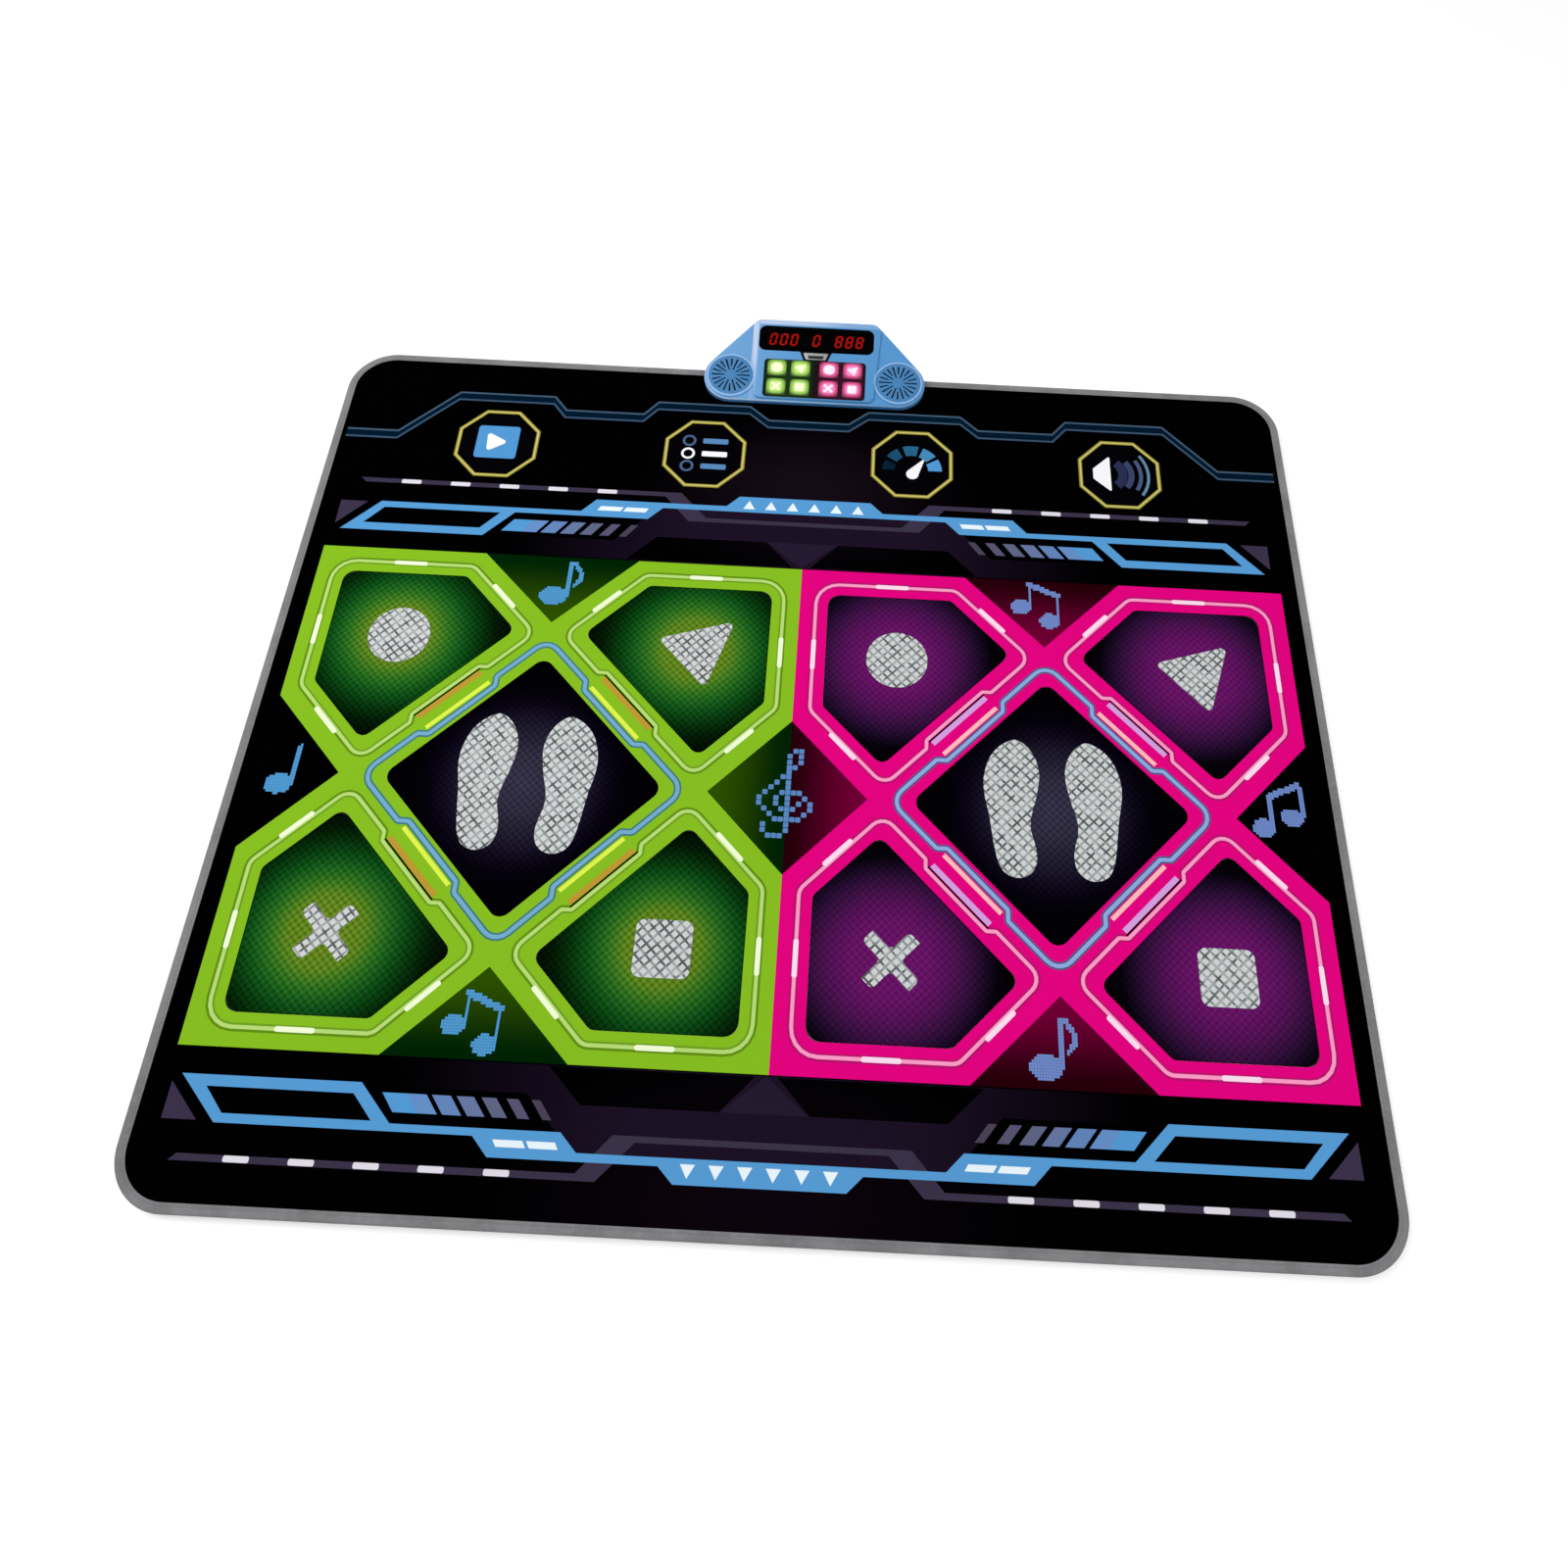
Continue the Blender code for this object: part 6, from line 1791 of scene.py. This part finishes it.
def buildScrews():
    s = screwSizes
    for word in ("left", "right"):
        low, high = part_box("screw_rear_" + word)
        x, y = (low.x + high.x) / 2, (low.y + high.y) / 2
        radius = (high.x - low.x) / 2
        deselectAll()
        bpy.ops.mesh.primitive_cylinder_add(vertices=32, radius=radius, depth=s["headDepth"],
                                            location=(x, y, low.z + s["headDepth"] / 2))
        screw = bpy.context.object
        screw.name = "screw_rear_drive_" + word
        applyPlace(screw)
        bevelEdges(screw, lambda co: co.z < low.z + 0.0001, s["headRounding"], 3)
        bpy.ops.mesh.primitive_cylinder_add(vertices=24, radius=radius * s["shankShare"],
                                            depth=high.z - low.z - 0.001,
                                            location=(x, y, (high.z + low.z + 0.001) / 2))
        shank = bpy.context.object
        applyPlace(shank)
        combine(screw, shank, "UNION")
        for a, b in (s["cross"][::-1], s["cross"]):
            cross = formFrom("cross", boxOutline(x - a, y - b, x + a, y + b), low.z - 0.001,
                             low.z + s["crossDepth"])
            combine(screw, cross, "DIFFERENCE")
        useOnly(screw)
        bpy.ops.object.shade_smooth_by_angle(angle=math.radians(35))
        finishPiece(screw, steelMade, replaced=["screw_rear_" + word])
    print("door, switch and screws made")


basePlastic = plasticMaterial("base plastic", rgb(52, 96, 138), 0.5, 0.1, grain=900.0, bump=0.3)

buildHousing()
buildGrilles()
buildKeys()
buildBezel()
buildDisplay()
buildBadge()
buildSwitch()
buildDoor()
buildScrews()


def foamMaterial(name, light, dark):
    made, tree, shader = startMaterial(name)
    place, _, _, _ = objectPlace(tree)
    cells = addNode(tree, "ShaderNodeTexVoronoi")
    cells.inputs["Scale"].default_value = 900.0
    tree.links.new(place, cells.inputs["Vector"])
    mask = mapRange(tree, cells.outputs["Distance"], 0.1, 0.6)
    tree.links.new(mixColours(tree, mask, dark, light), shader.inputs["Base Color"])
    tree.links.new(mapRange(tree, mask, 0.0, 1.0, 0.95, 0.75), shader.inputs["Roughness"])
    addBump(tree, shader, mask, 0.5, 0.0004)
    return made


def boardColour(tree):
    # green solder mask with straight copper tracks under it
    _, x, y, _ = objectPlace(tree)
    lines = mathNode(tree, "PINGPONG", mathNode(tree, "MULTIPLY", x, 400.0), 0.5)
    rows = mathNode(tree, "PINGPONG", mathNode(tree, "MULTIPLY", y, 260.0), 0.5)
    tracks = mathNode(tree, "MAXIMUM", mapRange(tree, lines, 0.38, 0.44),
                      mapRange(tree, rows, 0.42, 0.46))
    return mixColours(tree, tracks, rgb(14, 84, 48), rgb(46, 128, 66))


def sleeveColour(tree):
    # a black sleeve with a copper-coloured end, the same on all three cells
    _, x, _, _ = objectPlace(tree)
    end = mapRange(tree, mathNode(tree, "ABSOLUTE", x), 0.0118, 0.0120)
    return mixColours(tree, end, rgb(30, 32, 36), rgb(176, 116, 62))


def tailColour(tree):
    _, x, _, _ = objectPlace(tree)
    lines = mathNode(tree, "PINGPONG", mathNode(tree, "MULTIPLY", x, 500.0), 0.5)
    return mixColours(tree, mapRange(tree, lines, 0.28, 0.34), rgb(190, 150, 82),
                      rgb(214, 214, 216))


def finishInside():
    foam = foamMaterial("cushion foam", rgb(62, 62, 66), rgb(34, 34, 38))
    spacer = foamMaterial("spacer foam", rgb(214, 214, 210), rgb(180, 180, 176))
    filmMade = plasticMaterial("contact film", rgb(206, 210, 212), 0.25, 0.06, coat=0.3)
    carbon = plasticMaterial("carbon ink", rgb(34, 34, 36), 0.6, 0.2, grain=3000.0)
    black = plasticMaterial("black plastic", rgb(26, 27, 30), 0.45, 0.1, grain=1200.0)
    rubber = plasticMaterial("silicone rubber", rgb(196, 200, 204), 0.55, 0.06)
    cone = plasticMaterial("loudspeaker cone", rgb(16, 17, 20), 0.7, 0.2, grain=1400.0, bump=0.3)
    module = plasticMaterial("digit module plastic", rgb(10, 10, 12), 0.4, 0.08)
    board = plasticMaterial("circuit board", boardColour, 0.35, 0.05, coat=0.3)
    sleeve = plasticMaterial("battery sleeve", sleeveColour, 0.28, 0.05, coat=0.3)
    tail = plasticMaterial("sensor tail", tailColour, 0.3, 0.05)
    finishes = {"cushion_foam": foam, "spacer_foam": spacer, "lower_contact_film": filmMade,
                "clamp_bar": black, "sensor_tail": tail, "lower_housing": basePlastic,
                "key_membrane": rubber, "main_board": board}
    for name in nodes:
        if name.startswith("contact_"):
            finishes[name] = carbon
        elif name.startswith("digit_module"):
            finishes[name] = module
        elif name.startswith("loudspeaker"):
            finishes[name] = cone
        elif name.startswith("battery_") and name != "battery_door":
            finishes[name] = sleeve
        elif name.startswith("screw_front"):
            finishes[name] = steelMade
    for name, made in finishes.items():
        setMaterial(nodes[name], made)
    print("inner pieces finished")


finishInside()

studio = {
    "floor": 14.0, "floorColour": rgb(236, 236, 237), "floorLift": 0.30, "world": 0.55,
    "camera": (0.03482, -0.34576, 0.80927), "down": 70.156, "azimuth": -0.335, "roll": 2.630,
    "lens": 19.486, "shiftX": -0.02358, "shiftY": 0.0003,
    "lamps": {"key": ((-1.6, 0.9, 2.0), 1.6, 34.0), "fill": ((1.9, -0.6, 1.8), 1.8, 16.0)},
}


def buildFloor():
    deselectAll()
    bpy.ops.mesh.primitive_plane_add(size=studio["floor"], location=(0, 0, -0.0002))
    floor = bpy.context.object
    floor.name = "floor"
    applyPlace(floor)
    made, tree, shader = startMaterial("pale floor")
    shader.inputs["Base Color"].default_value = studio["floorColour"]
    shader.inputs["Roughness"].default_value = 0.9
    shader.inputs["Specular IOR Level"].default_value = 0.1
    path = addNode(tree, "ShaderNodeLightPath")
    seen = mathNode(tree, "MAXIMUM", path.outputs["Is Camera Ray"], path.outputs["Is Glossy Ray"])
    seen = mathNode(tree, "MAXIMUM", seen, path.outputs["Is Transmission Ray"])
    shader.inputs["Emission Color"].default_value = (1, 1, 1, 1)
    tree.links.new(mathNode(tree, "MULTIPLY", seen, studio["floorLift"]),
                   shader.inputs["Emission Strength"])
    setMaterial(floor, made)


def buildLight():
    world = bpy.data.worlds.new("studio")
    bpy.context.scene.world = world
    world.use_nodes = True
    world.node_tree.nodes["Background"].inputs["Strength"].default_value = studio["world"]
    world.node_tree.nodes["Background"].inputs["Color"].default_value = (1, 1, 1, 1)
    for name, (place, size, power) in studio["lamps"].items():
        lamp = bpy.data.lights.new(name, "AREA")
        lamp.size = size
        lamp.energy = power
        holder = bpy.data.objects.new(name, lamp)
        bpy.context.scene.collection.objects.link(holder)
        holder.location = place
        holder.rotation_euler = (-Vector(place)).to_track_quat("-Z", "Y").to_euler()


def buildCamera():
    camera = bpy.data.cameras.new("camera")
    camera.lens = studio["lens"]
    camera.sensor_width = 36.0
    camera.shift_x = studio["shiftX"]
    camera.shift_y = studio["shiftY"]
    camera.clip_start = 0.01
    holder = bpy.data.objects.new("camera", camera)
    bpy.context.scene.collection.objects.link(holder)
    holder.location = studio["camera"]
    down, azimuth = math.radians(studio["down"]), math.radians(studio["azimuth"])
    forward = Vector((math.sin(azimuth) * math.cos(down), math.cos(azimuth) * math.cos(down),
                      -math.sin(down)))
    turn = forward.to_track_quat("-Z", "Y").to_matrix()
    turn = turn @ Matrix.Rotation(math.radians(studio["roll"]), 3, "Z")
    holder.rotation_euler = turn.to_euler()
    bpy.context.scene.camera = holder
    bpy.context.scene.view_settings.view_transform = "Standard"


buildFloor()
buildLight()
buildCamera()
print("studio set")
